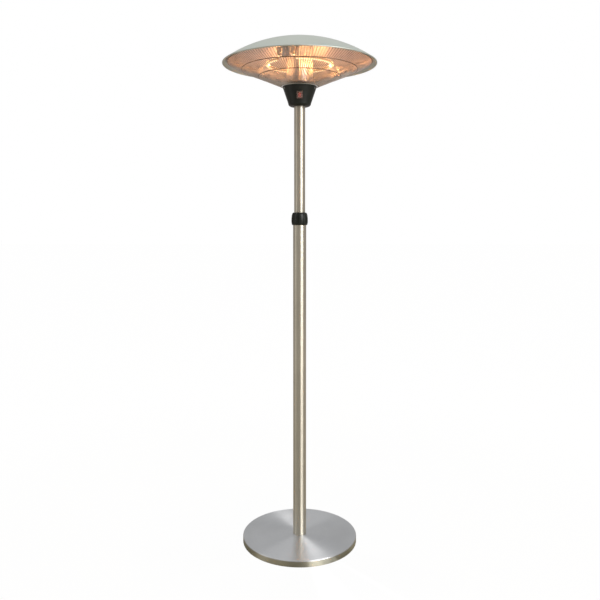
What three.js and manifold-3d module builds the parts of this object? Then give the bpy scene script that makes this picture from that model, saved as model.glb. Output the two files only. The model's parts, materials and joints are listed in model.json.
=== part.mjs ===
// A free-standing electric patio heater: a weighted round foot, a two-part telescopic pole with a twist
// clamp, and a head with a ring-shaped quartz lamp between a wire guard and a dished hood.
// Units are millimetres and +Z is up. The origin is on the floor under the pole, and the switch faces -Y.
import * as THREE from "three";
import { mergeVertices } from "three/addons/utils/BufferGeometryUtils.js";
import Module from "manifold-3d";

const wasm = await Module();
wasm.setup();

// ---- Clearances shared by every fit ----
const SEAT = 0.2; // left between faces that rest on each other
const SLIDE = 0.1; // radial play of a tube in its bush
const TURN = 0.3; // radial play of the clamp collar, which turns
const SIDES = 32; // facets of the round parts that run in each other
const WIDE_SIDES = 40; // facets of the foot and the hood

// ---- Foot ----
const FOOT_RADIUS = 227.7; // outside of the skirt at its lower edge
const FOOT_SHOULDER = 4.2; // radius of the rounding between the top and the skirt
const FOOT_HEIGHT = 25.6; // floor to the flat top
const COVER_WALL = 1.2;
const SKIRT_LIFT = 1.5; // floor to the skirt's lower edge
const PAD_HEIGHT = 3; // rubber pads that the foot stands on
const PAD_RADIUS = 16;
const PAD_INSET = 42.7; // from the skirt in to the middle of a pad
const PAD_COUNT = 4;
const PAN_THICKNESS = 1.5; // steel pan that closes the underside
const BALLAST_MARGIN = 10; // between the ballast's rim and the skirt
const CABLE_BORE = 3.6; // radius of the cable's way through the gland
const GLAND_WALL = 2.4;
const GLAND_FLANGE = 2;
const GLAND_NOSE = 9;
const CHANNEL_WIDTH = 12; // cable channel under the ballast
const CHANNEL_DEPTH = 9;

// ---- Pole ----
const UPPER_TUBE_RADIUS = 21.7;
const TUBE_WALL = 1.2;
const TUBE_GAP = 3.1; // between the two tubes, filled by the sleeve
const LOWER_TUBE_RADIUS = UPPER_TUBE_RADIUS + TUBE_GAP + TUBE_WALL;
const LOWER_TUBE_LENGTH = 1259;
const UPPER_TUBE_LENGTH = 650;
const PLUG_HEIGHT = 28; // steel plug in the lower tube's foot
const BOLT_RADIUS = 6;
const BOLT_END_GAP = 3; // from the bolt's end to the plug's top
const BOLT_HEAD_HEIGHT = 6;
const BOLT_WASHER = 1.6;
const BOLT_RECESS_RADIUS = 16;
const BOLT_RECESS_DEPTH = 9;
const TRAVEL_UP = 40; // what is left of the pole's travel above the height it is set to
const TRAVEL_STOP = 0.5;

// ---- Clamp between the tubes ----
const SLEEVE_LENGTH = 90; // guide sleeve inside the lower tube
const CLAMP_FLANGE_RADIUS = LOWER_TUBE_RADIUS + 2;
const CLAMP_FLANGE_HEIGHT = 4;
const COLLET_HEIGHT = 23;
const COLLET_STEP = 2.4; // from the flange's edge in to the collet's foot
const COLLET_TOP_WALL = 1.2;
const COLLET_SLOTS = 4;
const SLOT_WIDTH = 3;
const COLLAR_HEIGHT = 49;
const COLLAR_SKIRT = 14; // how far the collar reaches down over the lower tube
const COLLAR_RADIUS = CLAMP_FLANGE_RADIUS + 5.1; // over the lobes, at the widest
const COLLAR_TOP_RADIUS = UPPER_TUBE_RADIUS + 6.1;
const COLLAR_BOTTOM_RADIUS = LOWER_TUBE_RADIUS + 4.2;
const COLLAR_WIDEST = 0.33; // share of the collar's height
const COLLAR_SHOULDER_RADIUS = COLLAR_RADIUS - 1.5; // where the collar begins to round in at its top
const COLLAR_SHOULDER = 0.78; // share of the collar's height
const COLLAR_ROUND = 2;
const COLLAR_LOBES = 10;
const FLUTE_RADIUS = 4;
const FLUTE_DEPTH = 1.6;
const BUSH_HEIGHT = 27; // bush on the upper tube's tail
const BUSH_LIP = 3; // what closes it under the tube's end

// ---- Neck housing ----
const NECK_HEIGHT = 76.5;
const NECK_TOP_RADIUS = 66.7;
const NECK_LOW_RADIUS = 44.6; // where the cone meets its rounded lower edge
const NECK_ROUND_HEIGHT = 12;
const NECK_FLOOR_RADIUS = 31;
const NECK_WALL = 2.6;
const NECK_GRIP = 45; // how far the upper tube goes into the neck
const CARRIER_HEIGHT = 8; // disc inside the neck's mouth that carries the head
const CARRIER_DROP = 3; // from the neck's top edge down to the disc
const NECK_SCREW_ANGLES = [64, 116, -116, -64]; // degrees from the front
const NECK_SCREW_DROP = 8;
const SCREW_HEAD_RADIUS = 4;
const SCREW_SHANK_RADIUS = 1.9;
const SOCKET_WALL = 4; // of the carrier round the upper tube
const BLOCK_WIDTH = 34; // terminal block
const BLOCK_SHARE = 0.75; // of the room between the carrier's socket and the housing
const BLOCK_HEIGHT = 13;
const BLOCK_PITCH = 10;
const CAPSULE_RADIUS = 7; // tilt switch
const CAPSULE_HEIGHT = 25;
const CUTOUT_RADIUS = 8; // thermal cut-out
const CUTOUT_HEIGHT = 7;
const BLADE_HEIGHT = 8;

// ---- Switch, in the neck's front ----
const SWITCH_DROP = 38.5; // from the neck's top edge to the switch's middle
const SWITCH_WIDTH = 24;
const SWITCH_TALL = 30;
const BEZEL_THICKNESS = 2.4;
const SWITCH_BODY_WIDTH = 19;
const SWITCH_BODY_TALL = 25;
const SWITCH_BODY_DEPTH = 12;
const ROCKER_WIDTH = 11;
const ROCKER_TALL = 17;
const ROCKER_TILT = 10; // degrees to either side of level
const ROCKER_PLAY = 0.5;
const ROCKER_BACK_RADIUS = 5.4;
const ROCKER_STANDS_OUT = 2.6; // past the bezel
const ROCKER_VALLEY = 1.6;
const BOOT_HEIGHT = 8;
const BOOT_WALL = 0.8;
const BOOT_INSET = 3; // the boot is this much smaller than the bezel
const BOOT_CORNER = 5;

// ---- Head: trim ring, column and hood ----
const TRIM_RADIUS = NECK_TOP_RADIUS + 5;
const TRIM_HEIGHT = 4;
const HEAT_RING_HEIGHT = 5;
const COLUMN_RADIUS = 51;
const COLUMN_WALL = 0.8;
const HOOD_RADIUS = 300.4; // over the rolled rim
const HOOD_RISE = 96; // rim to crown
const HOOD_RIM_LIFT = 86.5; // neck's top edge to the rim
const HOOD_WALL = 1;
const RIM_BEAD_RADIUS = 2.4;
const LINER_MARGIN = 15; // from the hood's edge in to the liner's
const LINER_WALL = 0.8;
const ROD_RADIUS = 4;
const WASHER_RADIUS = 17;
const WASHER_THICKNESS = 1.5;
const NUT_RADIUS = 8;

// ---- Lamp ----
const LAMP_CIRCLE = 125.2; // radius of the ring at the middle of its tube
const LAMP_LIFT = 86; // neck's top edge to the ring
const LAMP_TUBE_RADIUS = 6.5;
const LAMP_TUBE_WALL = 1.1;
const LAMP_START = -6; // degrees from the front to the end on the right of the gap
const LAMP_GAP = 37; // degrees between the two ends
const LAMP_BEND = 12; // radius of the bend up at each end
const LAMP_TAIL = 12; // straight tail above the bend
const LAMP_CAP_RADIUS = 9.5;
const LAMP_CAP_HEIGHT = 24;
const LAMP_CAP_BORE = 8;
const LAMP_CAP_PLAY = 0.8; // of the tube in the cap's bore, filled with cement
const FILAMENT_RADIUS = 1.6;
const BRACKET_SHEET = 1.5;
const CLIP_WIRE = 1;
const CLIP_ANGLES = [45, 135, 225]; // degrees from the front, clear of the gap

// ---- Guard ----
const GUARD_MARGIN = 17.9; // from the hood's edge in to the outer ring
const GUARD_TUCK = 6; // how far the outer ring lies above the hood's rim
const GUARD_FOOT_LIFT = 2.3;
const GUARD_WIRES = 25;
const WIRE_RADIUS = 1.3;
const RING_WIRE_RADIUS = 1.5;
const GUARD_RINGS = [0.42, 0.73]; // share of the way from the foot ring to the outer ring
const GUARD_BELLY = 3; // how far the wires bow out from a straight cone
const HOOK_BAYS = [2, 10, 19]; // the bays between two wires that the hooks hang in
const HOOK_SHARE = 7 / 12; // of a bay, from its first wire to the hook
const HOOK_PLAY = 0.8;
const HOOK_WALL = 1.2;
const HOOK_WIDTH = 8;

// ---- Levels that follow from the sizes above ----
const coverUnderside = FOOT_HEIGHT - COVER_WALL;
const coverCurveRadius = FOOT_RADIUS - FOOT_SHOULDER; // where the flat top begins to round over
const padCircle = FOOT_RADIUS - PAD_INSET;
const ballastTop = coverUnderside - SEAT;
const panBottom = PAD_HEIGHT + SEAT;
const ballastBottom = panBottom + PAN_THICKNESS + SEAT;
const ballastRadius = coverCurveRadius - COVER_WALL - BALLAST_MARGIN;
const boltRecessTop = ballastBottom + BOLT_RECESS_DEPTH;
const glandRadius = CABLE_BORE + GLAND_WALL;
const glandHeight = (SKIRT_LIFT + FOOT_HEIGHT) / 2;
const cableOffset = (BOLT_RADIUS + LOWER_TUBE_RADIUS - TUBE_WALL) / 2; // behind the pole's axis
const lowerTubeFoot = ballastTop + SEAT;
const lowerTubeTop = lowerTubeFoot + LOWER_TUBE_LENGTH;
const lowerTubeBore = LOWER_TUBE_RADIUS - TUBE_WALL;
const upperTubeBore = UPPER_TUBE_RADIUS - TUBE_WALL;
const sleeveBottom = lowerTubeTop - SLEEVE_LENGTH;
const flangeTop = lowerTubeTop + SEAT + CLAMP_FLANGE_HEIGHT;
const collarBottom = lowerTubeTop - COLLAR_SKIRT;
const upperTubeTail = sleeveBottom - TRAVEL_STOP - TRAVEL_UP - BUSH_HEIGHT;
const upperTubeTop = upperTubeTail + UPPER_TUBE_LENGTH;
const neckBottom = upperTubeTop - NECK_GRIP;
const neckTop = neckBottom + NECK_HEIGHT;
const coneHeight = NECK_HEIGHT - NECK_ROUND_HEIGHT;
const coneTilt = Math.atan2(NECK_TOP_RADIUS - NECK_LOW_RADIUS, coneHeight);
const carrierTop = neckTop - CARRIER_DROP;
const carrierBottom = carrierTop - CARRIER_HEIGHT;
const trimBottom = neckTop + SEAT;
const trimTop = trimBottom + TRIM_HEIGHT;
const heatRingBottom = trimTop + SEAT;
const columnBottom = carrierTop + SEAT;
const hoodRim = neckTop + HOOD_RIM_LIFT;
const hoodCrown = hoodRim + HOOD_RISE;
const lampLevel = neckTop + LAMP_LIFT;

// ---- Helpers ----
const radians = THREE.MathUtils.degToRad;
const point = (x, y) => new THREE.Vector2(x, y);

// Revolves an outline of [radius, height] points about Z, whichever way round the points are listed.
// An outline that starts and ends on the axis stays open there, and any other is closed.
function lathe(outline, sides = SIDES) {
  const points = outline.map(([radius, height]) => point(radius, height));
  if (THREE.ShapeUtils.area(points) < 0) points.reverse();
  if (points[0].x > 0) points.push(points[0].clone());
  return new THREE.LatheGeometry(points, sides).rotateX(Math.PI / 2);
}

// Points along an arc of an outline, between two angles in degrees.
function arc(centreRadius, centreHeight, radius, from, to, steps) {
  const points = [];
  for (let step = 0; step <= steps; step++) {
    const angle = radians(from + ((to - from) * step) / steps);
    points.push([
      centreRadius + radius * Math.cos(angle),
      centreHeight + radius * Math.sin(angle),
    ]);
  }
  return points;
}

// A ring of rectangular section from one radius to another.
function ring(inner, outer, bottom, top, sides = SIDES) {
  return lathe(
    [
      [inner, bottom],
      [outer, bottom],
      [outer, top],
      [inner, top],
    ],
    sides,
  );
}

// A solid round bar along Z.
function disc(radius, bottom, top, sides = 24) {
  return new THREE.CylinderGeometry(radius, radius, top - bottom, sides)
    .rotateX(Math.PI / 2)
    .translate(0, 0, (top + bottom) / 2);
}

// A box between two corners.
function block([x0, y0, z0], [x1, y1, z1]) {
  return new THREE.BoxGeometry(x1 - x0, y1 - y0, z1 - z0).translate(
    (x0 + x1) / 2,
    (y0 + y1) / 2,
    (z0 + z1) / 2,
  );
}

// A bar of square or round section along a curve.
function bar(curve, radius, sides, steps, bore = 0) {
  const section = new THREE.Shape().absarc(0, 0, radius, 0, 2 * Math.PI);
  if (bore) section.holes.push(new THREE.Path().absarc(0, 0, bore, 0, 2 * Math.PI, true));
  return new THREE.ExtrudeGeometry(section, {
    extrudePath: curve,
    steps,
    curveSegments: sides,
    bevelEnabled: false,
  });
}

// A closed ring of round wire about Z.
function wireRing(circle, wire, height, sides = 6, around = 60) {
  return new THREE.TorusGeometry(circle, wire, sides, around).translate(0, 0, height);
}

// Turns a closed geometry into a solid for cutting and joining.
function solid(geometry) {
  const bare = geometry.clone();
  bare.deleteAttribute("normal");
  bare.deleteAttribute("uv");
  const merged = mergeVertices(bare, 1e-3);
  return new wasm.Manifold(
    new wasm.Mesh({
      numProp: 3,
      vertProperties: merged.attributes.position.array,
      triVerts: new Uint32Array(merged.index.array),
    }),
  );
}

// Turns a solid back into a geometry.
function geometryOf(made) {
  const mesh = made.getMesh();
  const positions = new Float32Array(mesh.numVert * 3);
  for (let i = 0; i < mesh.numVert; i++) {
    const first = i * mesh.numProp;
    positions.set(mesh.vertProperties.subarray(first, first + 3), i * 3);
  }
  return new THREE.BufferGeometry()
    .setAttribute("position", new THREE.BufferAttribute(positions, 3))
    .setIndex(new THREE.BufferAttribute(new Uint32Array(mesh.triVerts), 1));
}

const cut = (body, ...tools) =>
  geometryOf(tools.reduce((left, tool) => left.subtract(solid(tool)), solid(body)));
const join = (...pieces) => geometryOf(wasm.Manifold.union(pieces.map(solid)));

// Copies a geometry through a turn about Z.
const turned = (geometry, degrees) => geometry.clone().rotateZ(radians(degrees));

// A point on the circle of a radius, at an angle from the front that grows towards +X.
function onCircle(radius, degrees, height) {
  const angle = radians(degrees);
  return new THREE.Vector3(radius * Math.sin(angle), -radius * Math.cos(angle), height);
}

// ---- Materials ----
const finish = (color, metalness, roughness, more = {}) =>
  new THREE.MeshStandardMaterial({ color, metalness, roughness, ...more });
const BRUSHED_STEEL = finish(0xb9b6ad, 1, 0.32);
const PLAIN_STEEL = finish(0x9a9a98, 1, 0.4);
const SATIN_ALUMINIUM = finish(0xb9c1b9, 0.9, 0.45);
const POLISHED_ALUMINIUM = finish(0xd8cfc8, 1, 0.15);
const BLACK_PLASTIC = finish(0x1b1d1a, 0, 0.45);
const BLACK_ENAMEL = finish(0x161616, 0.3, 0.5);
const GREY_NYLON = finish(0x6a6c6d, 0, 0.5);
const RUBBER = finish(0x191919, 0, 0.9);
const CONCRETE = finish(0x8f8c86, 0, 0.95);
const RED_ROCKER = finish(0xc8261c, 0, 0.25, { emissive: 0x7a0c06 });
const CLEAR_SILICONE = finish(0xd9d2d0, 0, 0.2, { transparent: true, opacity: 0.4 });
const CERAMIC = finish(0xe8e2d4, 0, 0.6);
const QUARTZ = finish(0xfff0d0, 0, 0.1, { transparent: true, opacity: 0.5 });
const GLOWING_WIRE = finish(0xffb347, 0, 0.6, { emissive: 0xff9a2e });

const heater = new THREE.Group();

// Adds one named mesh to a group.
function add(name, geometry, material, group = heater) {
  const mesh = new THREE.Mesh(geometry, material);
  mesh.name = name;
  group.add(mesh);
  return mesh;
}

// ---- Foot ----
// The pressed steel cover: a flat top that rounds over into a short skirt.
function footCover() {
  const centre = FOOT_HEIGHT - FOOT_SHOULDER;
  const hole = LOWER_TUBE_RADIUS + SEAT;
  const shell = lathe(
    [
      [hole, FOOT_HEIGHT],
      ...arc(coverCurveRadius, centre, FOOT_SHOULDER, 90, 0, 4),
      [FOOT_RADIUS, SKIRT_LIFT],
      [FOOT_RADIUS - COVER_WALL, SKIRT_LIFT],
      ...arc(coverCurveRadius, centre, FOOT_SHOULDER - COVER_WALL, 0, 90, 4),
      [hole, coverUnderside],
    ],
    WIDE_SIDES,
  );
  const glandHole = new THREE.CylinderGeometry(glandRadius + SEAT, glandRadius + SEAT, 20, 16);
  return cut(shell, glandHole.translate(0, FOOT_RADIUS, glandHeight));
}

// The rubber bush that the mains cable passes through, in the skirt's back.
function cableGland() {
  const flange = glandRadius + GLAND_FLANGE;
  const fallAway = flange * Math.tan(Math.PI / WIDE_SIDES); // of the skirt across the flange
  const inside = -COVER_WALL - fallAway - SEAT;
  const profile = lathe(
    [
      [CABLE_BORE, inside - GLAND_FLANGE],
      [flange, inside - GLAND_FLANGE],
      [flange, inside],
      [glandRadius, inside],
      [glandRadius, SEAT],
      [flange, SEAT],
      [flange, SEAT + GLAND_FLANGE],
      [glandRadius - 1, GLAND_NOSE],
      [CABLE_BORE, GLAND_NOSE],
    ],
    16,
  );
  return profile.rotateX(-Math.PI / 2).translate(0, FOOT_RADIUS, glandHeight);
}

// The steel pan that closes the foot from below, with a hole for the pole's bolt.
function footPan() {
  const radius = FOOT_RADIUS - COVER_WALL - SEAT;
  return ring(BOLT_RECESS_RADIUS, radius, panBottom, panBottom + PAN_THICKNESS, WIDE_SIDES);
}

// The cast weight, with a recess for the pole's bolt and a channel for the cable.
function ballast() {
  const boltHole = BOLT_RADIUS + SEAT;
  const body = lathe(
    [
      [boltHole, boltRecessTop],
      [BOLT_RECESS_RADIUS, boltRecessTop],
      [BOLT_RECESS_RADIUS, ballastBottom],
      [ballastRadius, ballastBottom],
      [ballastRadius, ballastTop],
      [boltHole, ballastTop],
    ],
    WIDE_SIDES,
  );
  const half = CHANNEL_WIDTH / 2;
  const channel = block(
    [-half, cableOffset - half, ballastBottom - 1],
    [half, ballastRadius + 1, ballastBottom + CHANNEL_DEPTH],
  );
  const shaft = disc(half, ballastBottom + 1, ballastTop + 1, 12);
  return cut(body, channel, shaft.translate(0, cableOffset, 0));
}

// The steel plug welded in the lower tube's foot, tapped for the bolt and bored for the cable.
function polePlug() {
  const top = lowerTubeFoot + PLUG_HEIGHT;
  const body = ring(BOLT_RADIUS + SEAT, lowerTubeBore - SEAT, lowerTubeFoot, top);
  const cableWay = disc(CABLE_BORE + SEAT, lowerTubeFoot - 1, top + 1, 12);
  return cut(body, cableWay.translate(0, cableOffset, 0));
}

// The bolt's hexagon head lies in the ballast's recess, and its shank points up into the plug.
function poleBolt() {
  const headTop = boltRecessTop - SEAT - BOLT_WASHER - SEAT;
  const head = disc(1.7 * BOLT_RADIUS, headTop - BOLT_HEAD_HEIGHT, headTop, 6);
  const shank = disc(BOLT_RADIUS, headTop - 1, lowerTubeFoot + PLUG_HEIGHT - BOLT_END_GAP, 24);
  return join(head, shank);
}

function poleBoltWasher() {
  const top = boltRecessTop - SEAT;
  return ring(BOLT_RADIUS + SEAT, 2.2 * BOLT_RADIUS, top - BOLT_WASHER, top, 24);
}

function buildFoot() {
  add("foot_cover", footCover(), BRUSHED_STEEL);
  add("foot_pan", footPan(), PLAIN_STEEL);
  add("foot_ballast", ballast(), CONCRETE);
  add("cable_gland", cableGland(), RUBBER);
  add("pole_plug", polePlug(), PLAIN_STEEL);
  add("pole_bolt", poleBolt(), PLAIN_STEEL);
  add("pole_bolt_washer", poleBoltWasher(), PLAIN_STEEL);
  for (let i = 0; i < PAD_COUNT; i++) {
    const pad = add("foot_pad_" + (i + 1), disc(PAD_RADIUS, 0, PAD_HEIGHT), RUBBER);
    pad.position.copy(onCircle(padCircle, 45 + (i * 360) / PAD_COUNT, 0));
  }
}

// ---- Pole and clamp ----
// A piece of thin tube.
const tube = (radius, bottom, top) => ring(radius - TUBE_WALL, radius, bottom, top);

// The guide sleeve inside the lower tube, its flange on the tube's end and the slotted collet above.
function clampBody() {
  const bore = UPPER_TUBE_RADIUS + SLIDE;
  const colletTop = flangeTop + COLLET_HEIGHT;
  const colletFoot = CLAMP_FLANGE_RADIUS - COLLET_STEP;
  const body = lathe([
    [bore, sleeveBottom],
    [lowerTubeBore - SLIDE, sleeveBottom],
    [lowerTubeBore - SLIDE, lowerTubeTop + SEAT],
    [CLAMP_FLANGE_RADIUS, lowerTubeTop + SEAT],
    [CLAMP_FLANGE_RADIUS, flangeTop],
    [colletFoot, flangeTop],
    [bore + COLLET_TOP_WALL, colletTop],
    [bore, colletTop],
  ]);
  const slots = [];
  for (let i = 0; i < COLLET_SLOTS / 2; i++) {
    const reach = 2 * CLAMP_FLANGE_RADIUS;
    const slot = block([-reach, -SLOT_WIDTH / 2, flangeTop + 3], [reach, SLOT_WIDTH / 2, colletTop + 1]);
    slots.push(turned(slot, 45 + (i * 360) / COLLET_SLOTS));
  }
  return cut(body, ...slots);
}

// The collar that is turned to lock the pole, with hollow flutes between its lobes.
function clampCollar() {
  const top = collarBottom + COLLAR_HEIGHT;
  const grooveTop = flangeTop + TURN;
  const grooveBottom = lowerTubeTop + SEAT - TURN;
  const groove = CLAMP_FLANGE_RADIUS + TURN;
  const colletFoot = CLAMP_FLANGE_RADIUS - COLLET_STEP + 2 * TURN;
  const colletTop = flangeTop + COLLET_HEIGHT;
  const mouth = UPPER_TUBE_RADIUS + SLIDE + COLLET_TOP_WALL + 2 * TURN;
  const throat = UPPER_TUBE_RADIUS + 2 * TURN;
  const widest = collarBottom + COLLAR_WIDEST * COLLAR_HEIGHT;
  const shoulder = collarBottom + COLLAR_SHOULDER * COLLAR_HEIGHT;
  const body = lathe([
    [LOWER_TUBE_RADIUS + TURN, collarBottom],
    [COLLAR_BOTTOM_RADIUS - COLLAR_ROUND, collarBottom],
    [COLLAR_BOTTOM_RADIUS, collarBottom + COLLAR_ROUND],
    [COLLAR_RADIUS, widest],
    [COLLAR_SHOULDER_RADIUS, shoulder],
    [COLLAR_TOP_RADIUS, top - COLLAR_ROUND],
    [COLLAR_TOP_RADIUS - COLLAR_ROUND, top],
    [throat, top],
    [throat, colletTop + 2 * TURN],
    [mouth, colletTop + 2 * TURN],
    [colletFoot, grooveTop],
    [groove, grooveTop],
    [groove, grooveBottom],
    [LOWER_TUBE_RADIUS + TURN, grooveBottom],
  ]);
  const flutes = [];
  for (let i = 0; i < COLLAR_LOBES; i++) {
    flutes.push(turned(flute(widest, shoulder, top), (i * 360) / COLLAR_LOBES));
  }
  return cut(body, ...flutes);
}

// One flute: a bar that follows the collar's barrel from below its foot to above its top.
function flute(widest, shoulder, top) {
  const axis = (radius, height) =>
    new THREE.Vector3(radius + FLUTE_RADIUS - FLUTE_DEPTH, 0, height);
  const stops = [
    axis(COLLAR_BOTTOM_RADIUS, collarBottom - 1),
    axis(COLLAR_RADIUS, widest),
    axis(COLLAR_SHOULDER_RADIUS, shoulder),
    axis(COLLAR_TOP_RADIUS, top + 1),
  ];
  const path = new THREE.CurvePath();
  for (let i = 1; i < stops.length; i++) path.add(new THREE.LineCurve3(stops[i - 1], stops[i]));
  return bar(path, FLUTE_RADIUS, 4, 8);
}

// The plastic bush on the upper tube's tail: it guides the tube and stops under the sleeve.
function tailBush() {
  const outer = lowerTubeBore - SLIDE;
  const seat = UPPER_TUBE_RADIUS + SLIDE;
  const bottom = upperTubeTail - BUSH_LIP;
  return lathe([
    [upperTubeBore - 2, bottom],
    [outer, bottom],
    [outer, upperTubeTail + BUSH_HEIGHT],
    [seat, upperTubeTail + BUSH_HEIGHT],
    [seat, upperTubeTail - SEAT],
    [upperTubeBore - 2, upperTubeTail - SEAT],
  ]);
}

function buildPole() {
  add("lower_tube", tube(LOWER_TUBE_RADIUS, lowerTubeFoot, lowerTubeTop), BRUSHED_STEEL);
  add("clamp_body", clampBody(), GREY_NYLON);
  add("clamp_collar", clampCollar(), BLACK_PLASTIC);
  add("upper_tube", tube(UPPER_TUBE_RADIUS, upperTubeTail, upperTubeTop), BRUSHED_STEEL);
  add("tail_bush", tailBush(), GREY_NYLON);
}

// ---- Neck ----
// The neck's outside radius at a drop below its top edge, on the straight cone.
const coneRadius = (drop) => NECK_TOP_RADIUS - drop * Math.tan(coneTilt);

// A group on the cone's surface: its -Y points out of the surface and its Z runs up the cone.
function onCone(degrees, drop) {
  const turn = new THREE.Group();
  turn.rotation.z = radians(degrees);
  const place = new THREE.Group();
  place.position.set(0, -coneRadius(drop), neckTop - drop);
  place.rotation.x = coneTilt;
  turn.add(place);
  heater.add(turn);
  turn.updateMatrixWorld(true);
  return place;
}

// The neck's outline from its mouth down to the hole round the tube, moved in by an inset.
function neckOutline(inset, hole) {
  const width = NECK_LOW_RADIUS - inset - NECK_FLOOR_RADIUS;
  const height = NECK_ROUND_HEIGHT - inset;
  const corner = arc(0, 0, 1, 0, -90, 5);
  return [
    [NECK_TOP_RADIUS - inset, neckTop],
    ...corner.map(([x, y]) => [
      NECK_FLOOR_RADIUS + width * x,
      neckBottom + NECK_ROUND_HEIGHT + height * y,
    ]),
    [hole, neckBottom + inset],
  ];
}

function neckHousing(switchPlace, screwPlaces) {
  const hole = UPPER_TUBE_RADIUS + SEAT;
  const shell = lathe([...neckOutline(0, hole), ...neckOutline(NECK_WALL, hole).reverse()]);
  const halfWidth = SWITCH_BODY_WIDTH / 2 + SEAT;
  const halfTall = SWITCH_BODY_TALL / 2 + SEAT;
  const window = block([-halfWidth, -9, -halfTall], [halfWidth, 12, halfTall]);
  const holes = screwPlaces.map((place) =>
    new THREE.CylinderGeometry(SCREW_SHANK_RADIUS + SEAT, SCREW_SHANK_RADIUS + SEAT, 20, 12)
      .applyMatrix4(place.matrixWorld),
  );
  return cut(shell, window.applyMatrix4(switchPlace.matrixWorld), ...holes);
}

// The cast disc in the neck's mouth, with a socket round the upper tube and a hole for the cable.
function headCarrier(screwPlaces) {
  const socket = UPPER_TUBE_RADIUS + SEAT;
  const rim = coneRadius(CARRIER_DROP + CARRIER_HEIGHT) - NECK_WALL / Math.cos(coneTilt) - SEAT;
  const socketBottom = neckBottom + NECK_WALL + 10;
  const web = upperTubeTop + SEAT;
  const rodHole = ROD_RADIUS + SEAT;
  const body = lathe([
    [rodHole, web],
    [socket, web],
    [socket, socketBottom],
    [socket + SOCKET_WALL, socketBottom],
    [socket + SOCKET_WALL, carrierBottom],
    [rim, carrierBottom],
    [rim, carrierTop],
    [rodHole, carrierTop],
  ]);
  const depth = SCREW_SHANK_RADIUS + SEAT;
  const holes = screwPlaces.map((place) =>
    new THREE.CylinderGeometry(depth, depth, 24, 12).applyMatrix4(place.matrixWorld),
  );
  const cableWay = disc(CABLE_BORE, web - 30, carrierTop + 1, 12).translate(0, socket / 2 + 2, 0);
  return cut(body, ...holes, cableWay);
}

// A pan-head screw along local Y, its head outside.
function neckScrew() {
  const head = new THREE.CylinderGeometry(SCREW_HEAD_RADIUS, SCREW_HEAD_RADIUS - 0.8, 2, 16);
  const shank = new THREE.CylinderGeometry(SCREW_SHANK_RADIUS, SCREW_SHANK_RADIUS, 9, 12);
  return join(head.translate(0, -1.6, 0), shank.translate(0, 3.4, 0));
}

// ---- Switch ----
// The switch's frame and body, with a well for the rocker.
function switchBody() {
  const bezel = block(
    [-SWITCH_WIDTH / 2, -BEZEL_THICKNESS - SEAT, -SWITCH_TALL / 2],
    [SWITCH_WIDTH / 2, -SEAT, SWITCH_TALL / 2],
  );
  const body = block(
    [-SWITCH_BODY_WIDTH / 2, -SEAT - 1, -SWITCH_BODY_TALL / 2],
    [SWITCH_BODY_WIDTH / 2, SWITCH_BODY_DEPTH, SWITCH_BODY_TALL / 2],
  );
  const halfWidth = ROCKER_WIDTH / 2 + ROCKER_PLAY;
  const halfTall = ROCKER_TALL / 2 + 3 * ROCKER_PLAY;
  const wellDepth = ROCKER_BACK_RADIUS + 2;
  const well = block([-halfWidth, -9, -halfTall], [halfWidth, wellDepth, halfTall]);
  return geometryOf(solid(join(bezel, body)).subtract(solid(well)));
}

// Turns a side view drawn in X and Y, and its depth in Z, to face out of the neck's front.
const sideView = new THREE.Matrix4().makeBasis(
  new THREE.Vector3(0, 0, 1),
  new THREE.Vector3(0, -1, 0),
  new THREE.Vector3(1, 0, 0),
);

// The rocker about its pivot: two faces that meet in a shallow valley, over a round back.
function rocker() {
  const half = ROCKER_TALL / 2;
  const crown = BEZEL_THICKNESS + ROCKER_STANDS_OUT;
  const side = new THREE.Shape();
  side.moveTo(0, crown - ROCKER_VALLEY);
  side.lineTo(-half, crown);
  side.absarc(0, 0, ROCKER_BACK_RADIUS, radians(160), radians(20), false);
  side.lineTo(half, crown);
  const options = { depth: ROCKER_WIDTH, bevelEnabled: false, curveSegments: 8 };
  const prism = new THREE.ExtrudeGeometry(side, options);
  return prism.translate(0, 0, -ROCKER_WIDTH / 2).applyMatrix4(sideView);
}

// A prism with rounded corners that stands out of the neck's front, from one depth to another.
function padded(width, tall, corner, from, to) {
  const x = width / 2 - corner;
  const z = tall / 2 - corner;
  const outline = new THREE.Shape();
  outline.absarc(x, z, corner, 0, Math.PI / 2);
  outline.absarc(-x, z, corner, Math.PI / 2, Math.PI);
  outline.absarc(-x, -z, corner, Math.PI, 1.5 * Math.PI);
  outline.absarc(x, -z, corner, 1.5 * Math.PI, 2 * Math.PI);
  const options = { depth: to - from, bevelEnabled: false, curveSegments: 4 };
  return new THREE.ExtrudeGeometry(outline, options).rotateX(Math.PI / 2).translate(0, -from, 0);
}

// A clear splash boot over the rocker, open at its back.
function switchBoot() {
  const foot = BEZEL_THICKNESS + 2 * SEAT;
  const width = SWITCH_WIDTH - BOOT_INSET;
  const tall = SWITCH_TALL - BOOT_INSET;
  const outside = padded(width, tall, BOOT_CORNER, foot, foot + BOOT_HEIGHT);
  const inside = padded(
    width - 2 * BOOT_WALL,
    tall - 2 * BOOT_WALL,
    BOOT_CORNER - BOOT_WALL,
    foot - 1,
    foot + BOOT_HEIGHT - BOOT_WALL,
  );
  return cut(outside, inside);
}

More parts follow.
